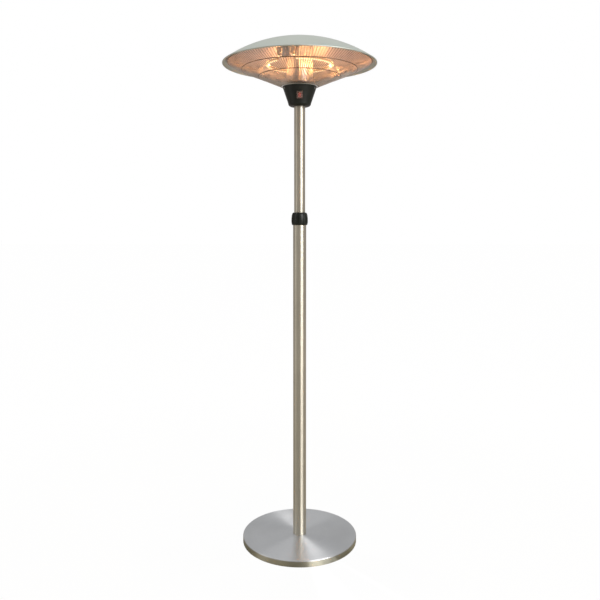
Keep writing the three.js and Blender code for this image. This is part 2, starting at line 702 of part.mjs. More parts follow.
// ---- Parts inside the neck ----
// A terminal block with two rows of screw wells, hung under the carrier behind the pole.
function terminalBlock() {
  const top = carrierBottom - SEAT;
  const bottom = top - BLOCK_HEIGHT;
  const half = BLOCK_WIDTH / 2;
  const near = UPPER_TUBE_RADIUS + SOCKET_WALL + 5;
  const housing = coneRadius(neckTop - bottom) - NECK_WALL / Math.cos(coneTilt);
  const depth = BLOCK_SHARE * (Math.sqrt(housing ** 2 - half ** 2) - near);
  const body = block([-half, near, bottom], [half, near + depth, top]);
  const wells = [];
  for (const column of [-1, 0, 1]) {
    for (const row of [0.25, 0.75]) {
      const well = disc(2, bottom - 1, bottom + 5, 8);
      wells.push(well.translate(column * BLOCK_PITCH, near + row * depth, 0));
    }
  }
  return cut(body, ...wells);
}

// The sealed capsule that cuts the power when the heater tips.
function tiltSwitch() {
  const top = carrierBottom - SEAT;
  const bottom = top - CAPSULE_HEIGHT;
  const round = 3;
  const flange = CAPSULE_RADIUS + 2;
  const profile = [
    [0, bottom],
    ...arc(CAPSULE_RADIUS - round, bottom + round, round, -90, 0, 3),
    [CAPSULE_RADIUS, top - 2],
    [flange, top - 2],
    [flange, top],
    [0, top],
  ];
  const aside = UPPER_TUBE_RADIUS + SOCKET_WALL + flange + 3;
  return lathe(profile, 16).translate(-aside, 8, 0);
}

// The thermal cut-out, a button with two blades that stands on the carrier inside the column.
function thermalCutout() {
  const foot = carrierTop + SEAT;
  const top = foot + CUTOUT_HEIGHT;
  const button = disc(CUTOUT_RADIUS, foot, top, 20);
  const blades = [-5, 5].map((x) => block([x - 0.4, -3, top - 1], [x + 0.4, 3, top + BLADE_HEIGHT]));
  return join(button, ...blades).translate(0, -COLUMN_RADIUS / 2, 0);
}

function buildNeck() {
  const switchPlace = onCone(0, SWITCH_DROP);
  const screwPlaces = NECK_SCREW_ANGLES.map((angle) => onCone(angle, NECK_SCREW_DROP));
  add("neck_housing", neckHousing(switchPlace, screwPlaces), BLACK_PLASTIC);
  add("head_carrier", headCarrier(screwPlaces), PLAIN_STEEL);
  screwPlaces.forEach((place, i) => add("neck_screw_" + (i + 1), neckScrew(), PLAIN_STEEL, place));
  add("switch_body", switchBody(), BLACK_PLASTIC, switchPlace);
  const lever = add("switch_rocker", rocker(), RED_ROCKER, switchPlace);
  lever.rotation.x = radians(ROCKER_TILT);
  add("switch_boot", switchBoot(), CLEAR_SILICONE, switchPlace);
  add("terminal_block", terminalBlock(), CERAMIC);
  add("tilt_switch", tiltSwitch(), BLACK_PLASTIC);
  add("thermal_cutout", thermalCutout(), BLACK_ENAMEL);
}

// ---- Hood ----
const hoodEdge = HOOD_RADIUS - RIM_BEAD_RADIUS; // where the sheet meets its rolled rim
const hoodSag = HOOD_RISE - RIM_BEAD_RADIUS;
const hoodSphere = (hoodEdge ** 2 + hoodSag ** 2) / (2 * hoodSag);
const linerRadius = hoodEdge - LINER_MARGIN;
const LINER_STEPS = 6;

// Height of the hood's outer face at a radius.
const hoodHeight = (radius) => hoodCrown - hoodSphere + Math.sqrt(hoodSphere ** 2 - radius ** 2);

// Height of the liner's lower face at a radius.
const linerHeight = (radius) => hoodHeight(radius) - HOOD_WALL - SEAT - LINER_WALL;

// The highest level clear of the liner for a corner at a radius and a sideways offset. Between its edges
// the faceted liner lies as low as it would at a slightly larger radius.
const underLiner = (radius, sideways = 0) =>
  linerHeight(Math.hypot(radius, sideways) / Math.cos(Math.PI / WIDE_SIDES)) - 2 * SEAT;

// Points of the hood's outer face from the rod's hole to the liner's edge, lowered by a drop.
function dish(drop) {
  const hole = ROD_RADIUS + SEAT;
  const points = [];
  for (let step = 0; step <= LINER_STEPS; step++) {
    const radius = hole + ((linerRadius - hole) * step) / LINER_STEPS;
    points.push([radius, hoodHeight(radius) - drop]);
  }
  return points;
}

// The spun hood, with its edge rolled into a round bead.
function hoodShell() {
  const bead = arc(hoodEdge, hoodHeight(hoodEdge) - RIM_BEAD_RADIUS, RIM_BEAD_RADIUS, 90, -180, 5);
  return lathe([...dish(0), ...bead, ...dish(HOOD_WALL).reverse()], WIDE_SIDES);
}

// The polished reflector that lines the hood.
function hoodLiner() {
  const top = HOOD_WALL + SEAT;
  return lathe([...dish(top), ...dish(top + LINER_WALL).reverse()], WIDE_SIDES);
}

function capNut() {
  const foot = hoodCrown + 2 * SEAT + WASHER_THICKNESS;
  const profile = [
    [0, foot + 11],
    [ROD_RADIUS + SEAT, foot + 11],
    [ROD_RADIUS + SEAT, foot],
    [NUT_RADIUS, foot],
    [NUT_RADIUS, foot + 6],
    ...arc(0, foot + 7, NUT_RADIUS - 1.5, 0, 90, 4),
  ];
  return lathe(profile, 18);
}

function buildHood() {
  const washerFoot = hoodCrown + SEAT;
  const trimBore = COLUMN_RADIUS + SEAT;
  add("trim_ring", trimRing(trimBore), POLISHED_ALUMINIUM);
  const heatRingTop = heatRingBottom + HEAT_RING_HEIGHT;
  add("heat_ring", ring(trimBore, TRIM_RADIUS - 2, heatRingBottom, heatRingTop), BLACK_ENAMEL);
  const columnTop = underLiner(COLUMN_RADIUS);
  const column = ring(COLUMN_RADIUS - COLUMN_WALL, COLUMN_RADIUS, columnBottom, columnTop);
  add("centre_column", column, POLISHED_ALUMINIUM);
  add("hood_liner", hoodLiner(), POLISHED_ALUMINIUM);
  add("hood_shell", hoodShell(), SATIN_ALUMINIUM);
  const rodTop = washerFoot + WASHER_THICKNESS + 9;
  add("tie_rod", disc(ROD_RADIUS, upperTubeTop + 2, rodTop, 16), PLAIN_STEEL);
  const washer = ring(ROD_RADIUS + SEAT, WASHER_RADIUS, washerFoot, washerFoot + WASHER_THICKNESS, 24);
  add("hood_washer", washer, PLAIN_STEEL);
  add("cap_nut", capNut(), POLISHED_ALUMINIUM);
}

// The bright ring on the neck's mouth, with a rounded outer edge.
function trimRing(bore) {
  const edge = TRIM_HEIGHT / 2;
  return lathe([
    [bore, trimBottom],
    ...arc(TRIM_RADIUS - edge, trimBottom + edge, edge, -90, 90, 3),
    [bore, trimTop],
  ]);
}

// ---- Lamp ----
const lampTangent = (degrees) => {
  const angle = radians(degrees);
  return new THREE.Vector3(Math.cos(angle), Math.sin(angle), 0);
};

// Points of the bend and the straight tail at one end; way is +1 at the ring's finish and -1 at its start.
function lampEnd(degrees, way) {
  const foot = onCircle(LAMP_CIRCLE, degrees, lampLevel);
  const forward = lampTangent(degrees).multiplyScalar(way);
  const points = [];
  for (const turn of [30, 60, 90]) {
    const angle = radians(turn);
    const along = forward.clone().multiplyScalar(LAMP_BEND * Math.sin(angle));
    points.push(foot.clone().add(along).setZ(lampLevel + LAMP_BEND * (1 - Math.cos(angle))));
  }
  points.push(points[2].clone().setZ(lampLevel + LAMP_BEND + LAMP_TAIL));
  return points;
}

const lampFinish = LAMP_START + 360 - LAMP_GAP;
const lampStartEnd = lampEnd(LAMP_START, -1);
const lampFinishEnd = lampEnd(lampFinish, 1);

// The lamp's centre line: up one end, round the ring and up the other.
function lampPath() {
  const points = [...lampStartEnd].reverse();
  const steps = 32;
  for (let step = 0; step <= steps; step++) {
    const degrees = LAMP_START + ((lampFinish - LAMP_START) * step) / steps;
    points.push(onCircle(LAMP_CIRCLE, degrees, lampLevel));
  }
  return new THREE.CatmullRomCurve3([...points, ...lampFinishEnd], false, "centripetal");
}

// A ceramic cap with a bore for the lamp's tail.
function lampCap() {
  const bottom = lampLevel + LAMP_BEND + LAMP_TAIL - LAMP_CAP_BORE;
  const bore = LAMP_TUBE_RADIUS + LAMP_CAP_PLAY;
  const boreTop = bottom + LAMP_CAP_BORE + SEAT;
  const outline = [
    [0, boreTop],
    [bore, boreTop],
    [bore, bottom],
    [LAMP_CAP_RADIUS, bottom],
    [LAMP_CAP_RADIUS, bottom + LAMP_CAP_HEIGHT],
    [0, bottom + LAMP_CAP_HEIGHT],
  ];
  return lathe(outline, 20);
}

// The sheet bracket that hangs from the liner and holds both caps.
function lampBracket() {
  const middle = LAMP_START - LAMP_GAP / 2;
  const capTop = lampLevel + LAMP_BEND + LAMP_TAIL - LAMP_CAP_BORE + LAMP_CAP_HEIGHT + SEAT;
  const start = lampStartEnd[3];
  const reach = start.distanceTo(lampFinishEnd[3]) / 2;
  const out = Math.hypot(start.x, start.y) * Math.cos(Math.asin(reach / Math.hypot(start.x, start.y)));
  const shelf = block(
    [-reach - LAMP_CAP_RADIUS, -out - LAMP_CAP_RADIUS, capTop],
    [reach + LAMP_CAP_RADIUS, -out + LAMP_CAP_RADIUS, capTop + BRACKET_SHEET],
  );
  const half = reach - LAMP_CAP_RADIUS - 3;
  const leaf = block(
    [-half, -out - BRACKET_SHEET / 2, lampLevel + LAMP_TUBE_RADIUS],
    [half, -out + BRACKET_SHEET / 2, underLiner(out + BRACKET_SHEET, half)],
  );
  return turned(join(shelf, leaf), middle);
}

// A clip from the column that loops round the lamp.
function lampClip() {
  const loop = LAMP_TUBE_RADIUS + CLIP_WIRE + 2 * SEAT;
  const eye = new THREE.TorusGeometry(loop, CLIP_WIRE, 4, 12)
    .rotateY(Math.PI / 2)
    .translate(0, -LAMP_CIRCLE, lampLevel);
  const arm = block(
    [-1.5, -LAMP_CIRCLE + loop - CLIP_WIRE / 2, lampLevel - CLIP_WIRE / 2],
    [1.5, -COLUMN_RADIUS - SEAT, lampLevel + CLIP_WIRE / 2],
  );
  return join(eye, arm);
}

function buildLamp() {
  const bore = LAMP_TUBE_RADIUS - LAMP_TUBE_WALL;
  add("lamp_tube", bar(lampPath(), LAMP_TUBE_RADIUS, 3, 48, bore), QUARTZ);
  add("lamp_filament", bar(lampPath(), FILAMENT_RADIUS, 2, 44), GLOWING_WIRE);
  [lampStartEnd, lampFinishEnd].forEach((end, i) => {
    const cap = add("lamp_cap_" + (i + 1), lampCap(), CERAMIC);
    cap.position.set(end[3].x, end[3].y, 0);
  });
  add("lamp_bracket", lampBracket(), PLAIN_STEEL);
  CLIP_ANGLES.forEach((angle, i) => {
    const clip = add("lamp_clip_" + (i + 1), lampClip(), PLAIN_STEEL);
    clip.rotation.z = radians(angle);
  });
}

// ---- Guard ----
const guardFootCircle = TRIM_RADIUS + RING_WIRE_RADIUS + SEAT;
const guardFootLevel = neckTop + GUARD_FOOT_LIFT;
const guardCircle = hoodEdge - GUARD_MARGIN;
const guardLevel = hoodRim + GUARD_TUCK;

// A point on the guard's profile at a share of the way out: a cone that bows a little outwards.
function guardPoint(share) {
  const belly = GUARD_BELLY * Math.sin(Math.PI * share ** 2.4);
  return [
    guardFootCircle + (guardCircle - guardFootCircle) * share + 0.4 * belly,
    guardFootLevel + (guardLevel - guardFootLevel) * share - 0.9 * belly,
  ];
}

function guardWire() {
  const path = new THREE.CurvePath();
  const shares = [0, 0.72, 1];
  const stops = shares.map((share) => {
    const [radius, height] = guardPoint(share);
    return new THREE.Vector3(0, -radius, height);
  });
  for (let i = 1; i < stops.length; i++) path.add(new THREE.LineCurve3(stops[i - 1], stops[i]));
  return bar(path, WIRE_RADIUS, 2, 2);
}

function guard() {
  const pieces = [0, ...GUARD_RINGS, 1].map((share) => {
    const [radius, height] = guardPoint(share);
    return wireRing(radius, RING_WIRE_RADIUS, height, 4, 2 * GUARD_WIRES);
  });
  const wire = guardWire();
  for (let i = 0; i < GUARD_WIRES; i++) pieces.push(turned(wire, (i * 360) / GUARD_WIRES));
  return join(...pieces);
}

// A hook that hangs the guard's outer ring from the liner.
function guardHook() {
  const [circle, height] = guardPoint(1);
  const stemIn = circle - RING_WIRE_RADIUS - HOOK_PLAY - HOOK_WALL;
  const stemOut = stemIn + HOOK_WALL;
  const bore = RING_WIRE_RADIUS + HOOK_PLAY;
  const roll = (radius, width) =>
    new THREE.CylinderGeometry(radius, radius, width, 14)
      .rotateZ(Math.PI / 2)
      .translate(0, -circle, height);
  const stem = block(
    [-HOOK_WIDTH / 2, -stemOut, height],
    [HOOK_WIDTH / 2, -stemIn, underLiner(stemOut, HOOK_WIDTH / 2)],
  );
  return cut(join(roll(bore + HOOK_WALL, HOOK_WIDTH), stem), roll(bore, HOOK_WIDTH + 2));
}

function buildGuard() {
  add("guard", guard(), PLAIN_STEEL);
  HOOK_BAYS.forEach((bay, i) => {
    const hook = add("guard_hook_" + (i + 1), guardHook(), PLAIN_STEEL);
    hook.rotation.z = radians(((bay + HOOK_SHARE) * 360) / GUARD_WIRES);
  });
}

buildFoot();
buildPole();
buildNeck();
buildHood();
buildLamp();
buildGuard();

export default heater;
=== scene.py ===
# %% [markdown]
# # A patio heater, from foot to hood
# This lesson dresses a finished CAD model of an electric patio heater. The CAD model says where every
# piece is and how big it is. Here most of what is seen is modelled again with finer detail, in the same
# place, and every surface gets a material. Lengths are in metres, and +Z is up along the pole.

import json
import math

import bpy
from mathutils import Matrix, Vector

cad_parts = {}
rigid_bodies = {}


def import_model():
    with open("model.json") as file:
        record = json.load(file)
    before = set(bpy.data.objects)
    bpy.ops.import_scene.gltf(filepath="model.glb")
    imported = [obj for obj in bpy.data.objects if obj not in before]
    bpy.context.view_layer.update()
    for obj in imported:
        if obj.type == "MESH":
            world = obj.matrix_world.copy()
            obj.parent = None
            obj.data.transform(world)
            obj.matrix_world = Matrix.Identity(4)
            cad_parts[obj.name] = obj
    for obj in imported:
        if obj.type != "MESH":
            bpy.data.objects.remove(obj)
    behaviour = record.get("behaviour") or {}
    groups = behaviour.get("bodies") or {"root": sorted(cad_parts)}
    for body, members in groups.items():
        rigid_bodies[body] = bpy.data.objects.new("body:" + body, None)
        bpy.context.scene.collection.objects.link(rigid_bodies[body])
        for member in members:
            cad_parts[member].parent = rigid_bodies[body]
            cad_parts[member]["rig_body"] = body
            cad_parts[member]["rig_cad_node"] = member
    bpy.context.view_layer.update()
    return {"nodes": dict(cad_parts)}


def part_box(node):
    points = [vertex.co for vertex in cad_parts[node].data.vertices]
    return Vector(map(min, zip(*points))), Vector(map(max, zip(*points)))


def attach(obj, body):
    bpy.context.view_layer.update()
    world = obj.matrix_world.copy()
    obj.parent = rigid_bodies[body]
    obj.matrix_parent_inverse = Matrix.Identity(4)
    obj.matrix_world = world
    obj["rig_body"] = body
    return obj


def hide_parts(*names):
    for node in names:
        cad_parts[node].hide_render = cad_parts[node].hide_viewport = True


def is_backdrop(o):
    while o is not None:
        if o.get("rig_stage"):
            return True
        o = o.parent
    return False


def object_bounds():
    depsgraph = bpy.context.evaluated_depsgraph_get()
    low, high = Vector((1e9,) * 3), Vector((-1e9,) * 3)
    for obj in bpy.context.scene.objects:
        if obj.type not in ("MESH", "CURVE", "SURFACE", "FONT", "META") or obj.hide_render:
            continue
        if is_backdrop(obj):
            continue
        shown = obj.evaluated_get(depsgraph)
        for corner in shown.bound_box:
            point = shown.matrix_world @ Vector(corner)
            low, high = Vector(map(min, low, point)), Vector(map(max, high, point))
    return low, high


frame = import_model()
nodes = frame["nodes"]
MM = 0.001
SLIP = 0.2 * MM  # room left round a piece that passes through another

# %% [markdown]
# ## Camera
# The heater is seen from the front, from a little over chest height, so the hood is seen from below and
# the foot from above. A lens of about 40 mm from 2.7 m away gives that mix of views.

# %% Camera
camera_data = bpy.data.cameras.new("camera")
camera_data.lens = 40.35
camera_data.shift_x = 0.0006
camera_data.shift_y = -0.075
camera = bpy.data.objects.new("camera", camera_data)
camera.location = (0, -2.656, 1.300)
camera.rotation_euler = (math.radians(86.79), 0, 0)
bpy.context.scene.collection.objects.link(camera)
bpy.context.scene.camera = camera
bpy.context.scene.view_settings.view_transform = "Standard"
print("camera", tuple(round(v, 3) for v in camera.location))

# %% [markdown]
# ## Helpers for round pieces
# Nearly everything on this heater is round about the pole. On the real one such pieces are pressed, spun,
# rolled or moulded. Here the Spin tool makes them all: one outline of points, turned about the axis. The
# outline starts as a plane merged to a single vertex, which is then extruded from point to point.


# %% Spinning an outline
def deselect_all():
    if bpy.context.mode != "OBJECT":
        bpy.ops.object.mode_set(mode="OBJECT")
    bpy.ops.object.select_all(action="DESELECT")


def draw_outline(name, outline):
    """Starts a piece and leaves it in edit mode as a chain of vertices through (radius, height) points."""
    deselect_all()
    bpy.ops.mesh.primitive_plane_add(size=MM)
    piece = bpy.context.object
    piece.name = name
    bpy.ops.object.mode_set(mode="EDIT")
    bpy.ops.mesh.select_mode(type="VERT")
    bpy.ops.mesh.select_all(action="SELECT")
    bpy.ops.mesh.merge(type="CENTER")
    radius, height = outline[0]
    bpy.ops.transform.translate(value=(radius, 0, height))
    for next_radius, next_height in outline[1:]:
        step = (next_radius - radius, 0, next_height - height)
        bpy.ops.mesh.extrude_vertices_move(TRANSFORM_OT_translate={"value": step})
        radius, height = next_radius, next_height
    return piece


def close_mesh(smooth_angle=35):
    """Merges doubles, turns the faces outwards and shades the piece, back in object mode."""
    bpy.ops.mesh.select_all(action="SELECT")
    bpy.ops.mesh.remove_doubles(threshold=0.005 * MM)
    bpy.ops.mesh.normals_make_consistent(inside=False)
    bpy.ops.object.mode_set(mode="OBJECT")
    bpy.ops.object.shade_smooth_by_angle(angle=math.radians(smooth_angle))


def spun(name, outline, sides=128, smooth_angle=35):
    """A closed outline of (radius, height) points turned about the Z axis."""
    piece = draw_outline(name, outline)
    bpy.ops.mesh.select_all(action="SELECT")
    bpy.ops.mesh.spin(steps=sides, angle=math.tau, center=(0, 0, 0), axis=(0, 0, 1))
    close_mesh(smooth_angle)
    return piece


def arc(centre_radius, centre_height, radius, start, stop, steps):
    """Points of an outline along an arc, between two angles in degrees."""
    points = []
    for step in range(steps + 1):
        angle = math.radians(start + (stop - start) * step / steps)
        points.append((centre_radius + radius * math.cos(angle), centre_height + radius * math.sin(angle)))
    return points


def ring_outline(inner, outer, bottom, top):
    """A rectangular section, closed on itself."""
    return [(inner, bottom), (outer, bottom), (outer, top), (inner, top), (inner, bottom)]


def apply_modifier(piece, kind, **settings):
    """Adds one modifier with its settings and applies it."""
    deselect_all()
    piece.select_set(True)
    bpy.context.view_layer.objects.active = piece
    modifier = piece.modifiers.new(kind.lower(), kind)
    for key, value in settings.items():
        setattr(modifier, key, value)
    bpy.ops.object.modifier_apply(modifier=modifier.name)


def soften_edges(piece, width, segments=2, angle=40):
    """Bevels the edges that are sharper than an angle."""
    apply_modifier(
        piece, "BEVEL", width=width, segments=segments, limit_method="ANGLE",
        angle_limit=math.radians(angle), harden_normals=False,
    )
    deselect_all()
    piece.select_set(True)
    bpy.context.view_layer.objects.active = piece
    bpy.ops.object.shade_smooth_by_angle(angle=math.radians(angle))


def fit(piece, body, replaced, material):
    """Puts a piece on its CAD body in place of CAD nodes, and gives it its finish."""
    if not piece.data.polygons:
        raise ValueError(piece.name + " has no faces")
    piece.data.materials.clear()
    piece.data.materials.append(material)
    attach(piece, body)
    if replaced:
        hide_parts(*replaced)
    print(piece.name, len(piece.data.polygons), "faces")


# %% [markdown]
# ## Helpers for materials
# Each material is a small graph of nodes. `Finish` keeps the graph in one place and adds nodes to it
# with one call, so that a recipe below reads from top to bottom.


# %% A material recipe
class Finish:
    def __init__(self, name, **sockets):
        self.material = bpy.data.materials.new(name)
        self.material.use_nodes = True
        self.tree = self.material.node_tree
        self.shader = self.tree.nodes["Principled BSDF"]
        self.coordinates = self.node("ShaderNodeTexCoord").outputs["Object"]
        for socket, value in sockets.items():
            self.shader.inputs[socket.replace("_", " ")].default_value = value

    def node(self, kind, inputs=None, **settings):
        """Adds a node, sets its own settings, and links or sets its inputs."""
        made = self.tree.nodes.new(kind)
        for key, value in settings.items():
            setattr(made, key, value)
        for socket, value in (inputs or {}).items():
            self.put(made, socket, value)
        return made

    def put(self, made, socket, value):
        if isinstance(value, bpy.types.NodeSocket):
            self.tree.links.new(value, made.inputs[socket])
        else:
            made.inputs[socket].default_value = value

    def height(self):
        """Height above the floor."""
        return self.node("ShaderNodeSeparateXYZ", {0: self.coordinates}).outputs["Z"]

    def noise(self, vector, scale, detail=4.0, roughness=0.55):
        made = self.node(
            "ShaderNodeTexNoise",
            {"Vector": vector, "Scale": scale, "Detail": detail, "Roughness": roughness},
        )
        return made.outputs["Fac"]

    def sum(self, first, second):
        return self.math("ADD", first, second)

    def radius(self):
        """Distance from the pole's axis."""
        flat = self.node("ShaderNodeMapping", {"Vector": self.coordinates, "Scale": (1, 1, 0)})
        length = self.node("ShaderNodeVectorMath", {0: flat.outputs["Vector"]}, operation="LENGTH")
        return length.outputs["Value"]

    def math(self, operation, first, second=0.5):
        return self.node("ShaderNodeMath", {0: first, 1: second}, operation=operation).outputs[0]

    def vector(self, x=0.0, y=0.0, z=0.0):
        return self.node("ShaderNodeCombineXYZ", {"X": x, "Y": y, "Z": z}).outputs[0]

    def span(self, value, low, high, start=0.0, stop=1.0):
        """Maps start..stop of a value onto low..high."""
        made = self.node(
            "ShaderNodeMapRange",
            {"Value": value, "From Min": start, "From Max": stop, "To Min": low, "To Max": high},
        )
        return made.outputs["Result"]

    def ramp(self, value, *stops):
        """A colour ramp from (place, colour) stops."""
        made = self.node("ShaderNodeValToRGB", {"Fac": value})
        elements = made.color_ramp.elements
        while len(elements) < len(stops):
            elements.new(0.5)
        for element, (place, colour) in zip(elements, stops):
            element.position = place
            element.color = (*colour, 1)
        return made.outputs["Color"]

    def blend(self, factor, first, second):
        """The first colour at factor 0, the second at factor 1."""
        made = self.node("ShaderNodeMix", {"Factor": factor}, data_type="RGBA")
        for socket, value in ((6, first), (7, second)):
            if isinstance(value, tuple):
                value = (*value, 1)
            self.put(made, socket, value)
        return made.outputs[2]

    def bump(self, height, strength, distance):
        inputs = {"Height": height, "Strength": strength, "Distance": distance}
        return self.node("ShaderNodeBump", inputs).outputs["Normal"]

    def set(self, **sockets):
        for socket, value in sockets.items():
            self.put(self.shader, socket.replace("_", " "), value)


print("helpers ready")

# %% [markdown]
# ## Brushed stainless steel
# The tubes and the foot are brushed round and round: the marks run about the axis. Such marks spread a
# highlight across themselves, so bright bands stand upright on the tubes, and two bright wedges cross
# the foot. Anisotropy with a radial tangent gives that spread. Fine rings of noise add the marks. The
# foot's skirt gets a darker, warmer colour than its top: a painted reflection of the floor and painted
# shade on its side.


# %% Brushed steel
def brushed_steel(name, colour, roughness, anisotropy, marks, depth, painted_skirt_shade=None):
    """The skirt shade is a height and the colour below it, for the foot: a painted reflection and painted
    shade on its side.
    """
    finish = Finish(name, Metallic=1.0, Anisotropic=anisotropy, Anisotropic_Rotation=0.25)
    along = finish.vector(finish.radius(), 0.0, finish.height())
    fine = finish.noise(along, marks, 3.0, 0.7)
    broad = finish.noise(finish.coordinates, 9.0, 3.0)
    tint = finish.ramp(
        fine,
        (0.25, tuple(0.86 * c for c in colour)),
        (0.75, tuple(min(1.0, 1.08 * c) for c in colour)),
    )
    smudges_and_skirt_shade = finish.blend(finish.span(broad, 0.0, 0.16, 0.35, 0.75), tint, tuple(0.8 * c for c in colour))
    # On the foot, the colour below a level is painted darker and warmer: painted reflection and shade on the
    # skirt's side.
    if painted_skirt_shade:
        level, darker = painted_skirt_shade
        smudges_and_skirt_shade = finish.blend(finish.span(finish.height(), 0.0, 1.0, level - MM, level), darker, smudges_and_skirt_shade)
    marked = finish.span(fine, -0.05, 0.05, 0.3, 0.7)
    worn = finish.sum(marked, finish.span(broad, -0.04, 0.05, 0.3, 0.7))
    tangent = finish.node("ShaderNodeTangent", direction_type="RADIAL", axis="Z")
    finish.set(
        Base_Color=smudges_and_skirt_shade,
        Roughness=finish.sum(worn, roughness),
        Normal=finish.bump(fine, depth, 0.0002),
        Tangent=tangent.outputs["Tangent"],
    )
    return finish.material


steel_tube = brushed_steel("brushed_steel_tube", (0.71, 0.665, 0.56), 0.40, 1.0, 1400.0, 0.01)
# Below skirt_top the foot's colour is painted darker and warmer, as a painted reflection and shade on its
# skirt.
skirt_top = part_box("foot_cover")[1].z - 3 * MM
steel_foot = brushed_steel(
    "brushed_steel_foot", (0.74, 0.74, 0.745), 0.38, 0.95, 1100.0, 0.03, (skirt_top, (0.60, 0.57, 0.47))
)
print("steel ready")

# %% [markdown]
# ## Polished and satin aluminium
# The hood is spun from aluminium sheet. Its outside is satin, a pale grey with a hint of green. Its
# lining is polished, with faint rings left by the spinning tool.


# %% Aluminium
def spun_metal(name, colour, roughness, rings, ring_scale, anisotropy=0.0, shade=0.9):
    finish = Finish(name, Metallic=1.0, Anisotropic=anisotropy, Anisotropic_Rotation=0.25)
    turned = finish.noise(finish.vector(finish.radius(), 0.0, 0.0), ring_scale, 3.0, 0.6)
    cloud = finish.noise(finish.coordinates, 7.0, 3.0)
    tint = finish.ramp(turned, (0.3, tuple(shade * c for c in colour)), (0.7, colour))
    wiped = finish.blend(finish.span(cloud, 0.0, 0.2, 0.4, 0.7), tint, tuple(0.85 * c for c in colour))
    clouded = finish.span(cloud, -0.03, 0.05, 0.3, 0.7)
    rough = finish.sum(clouded, finish.span(turned, -0.03, 0.03, 0.3, 0.7))
    tangent = finish.node("ShaderNodeTangent", direction_type="RADIAL", axis="Z")
    finish.set(
        Base_Color=wiped,
        Roughness=finish.sum(rough, roughness),
        Normal=finish.bump(turned, rings, 0.0004),
        Tangent=tangent.outputs["Tangent"],
    )
    return finish.material


hood_skin = spun_metal("satin_aluminium", (0.61, 0.64, 0.575), 0.45, 0.03, 300.0)
liner_skin = spun_metal("polished_lining", (0.92, 0.83, 0.80), 0.40, 0.0, 160.0, 0.85)
column_skin = spun_metal("polished_column", (0.92, 0.86, 0.82), 0.34, 0.02, 500.0, 0.9)
trim_skin = spun_metal("polished_trim", (0.93, 0.94, 0.91), 0.38, 0.04, 900.0)
print("aluminium ready")

# %% [markdown]
# ## Plastics, rubber, ceramic and small metal
# Moulded plastic has a fine grain and a soft gloss. Rubber is the same with more grain and less gloss.
# Ceramic, plated metal and the cast weight get a little mottling.


# %% Plain finishes
def grained(name, colour, roughness, grain, depth, variation=0.25, **sockets):
    finish = Finish(name, **sockets)
    fine = finish.noise(finish.coordinates, grain, 2.0, 0.6)
    broad = finish.noise(finish.coordinates, 28.0, 3.0)
    darker = tuple((1 - variation) * c for c in colour)
    paler = tuple(min(1, (1 + variation) * c) for c in colour)
    tint = finish.ramp(broad, (0.3, darker), (0.7, paler))
    grainy = finish.span(fine, -0.06, 0.06, 0.3, 0.7)
    mottled = finish.span(broad, roughness - 0.04, roughness + 0.06, 0.3, 0.7)
    finish.set(
        Base_Color=tint,
        Roughness=finish.sum(grainy, mottled),
        Normal=finish.bump(fine, depth, 0.0003),
    )
    return finish.material


black_plastic = grained("black_plastic", (0.007, 0.009, 0.006), 0.36, 1500.0, 0.25, Specular_IOR_Level=0.3)
black_enamel = grained("black_enamel", (0.012, 0.012, 0.012), 0.5, 2200.0, 0.3)
rubber = grained("rubber", (0.02, 0.02, 0.02), 0.75, 1200.0, 0.5)
grey_nylon = grained("grey_nylon", (0.12, 0.125, 0.125), 0.45, 900.0, 0.2)
ceramic = grained("ceramic", (0.70, 0.62, 0.50), 0.6, 1000.0, 0.2, 0.12)
zinc = grained("zinc_plated", (0.60, 0.59, 0.56), 0.34, 700.0, 0.15, 0.15, Metallic=1.0)
bright_wire = grained("bright_wire", (0.56, 0.50, 0.47), 0.3, 900.0, 0.1, 0.2, Metallic=1.0)
ring_steel = grained("ring_steel", (0.20, 0.165, 0.14), 0.42, 900.0, 0.1, 0.2, Metallic=1.0)
dark_zinc = grained("dark_zinc", (0.24, 0.24, 0.23), 0.42, 700.0, 0.15, 0.15, Metallic=1.0)
concrete = grained("cast_ballast", (0.28, 0.27, 0.25), 0.9, 300.0, 0.7)
print("plain finishes ready")

# %% [markdown]
# ## Foot
# The foot is one pressed steel cover with a rounded shoulder and a short skirt, over a cast weight. Its
# section is drawn once and spun.

# %% Foot cover
foot_low, foot_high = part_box("foot_cover")
tube_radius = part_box("lower_tube")[1].x
shoulder = 4.2 * MM
sheet = 1.2 * MM
outer = foot_high.x
bend = foot_high.z - shoulder
hole = tube_radius + SLIP
outline = [(hole, foot_high.z)]
outline += arc(outer - shoulder, bend, shoulder, 90, 0, 8)
outline += [(outer, foot_low.z), (outer - sheet, foot_low.z)]
outline += arc(outer - shoulder, bend, shoulder - sheet, 0, 90, 8)
outline += [(hole, foot_high.z - sheet), (hole, foot_high.z)]
cover = spun("spun_foot_cover", outline, 256)
fit(cover, "stand", ["foot_cover"], steel_foot)

# %% [markdown]
# ## Tubes
# Two steel tubes, the thinner one sliding in the thicker one. Their ends are rolled in a little.


# %% Tubes
def tube(name, node, wall):
    low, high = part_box(node)
    radius = high.x
    roll = 0.5 * MM
    outline = [
        (radius - wall, low.z), (radius - roll, low.z), (radius, low.z + roll), (radius, high.z - roll),
        (radius - roll, high.z), (radius - wall, high.z), (radius - wall, low.z),
    ]
    return spun(name, outline, 128)


lower = tube("brushed_lower_tube", "lower_tube", 1.2 * MM)
fit(lower, "stand", ["lower_tube"], steel_tube)
upper = tube("brushed_upper_tube", "upper_tube", 1.2 * MM)
fit(upper, "mast", ["upper_tube"], steel_tube)

# %% [markdown]
# ## Hood
# The hood is a shallow dish with a rolled rim. Outside and lining are two skins, so that each gets its
# own finish. Both follow one circle, which is found from the hood's width and rise.

# %% Hood
hood_low, hood_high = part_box("hood_shell")
bead = 2.4 * MM
edge = hood_high.x - bead
crown = hood_high.z
sag = crown - hood_low.z - 2 * bead
sphere = (edge**2 + sag**2) / (2 * sag)
rod_hole = 4.2 * MM


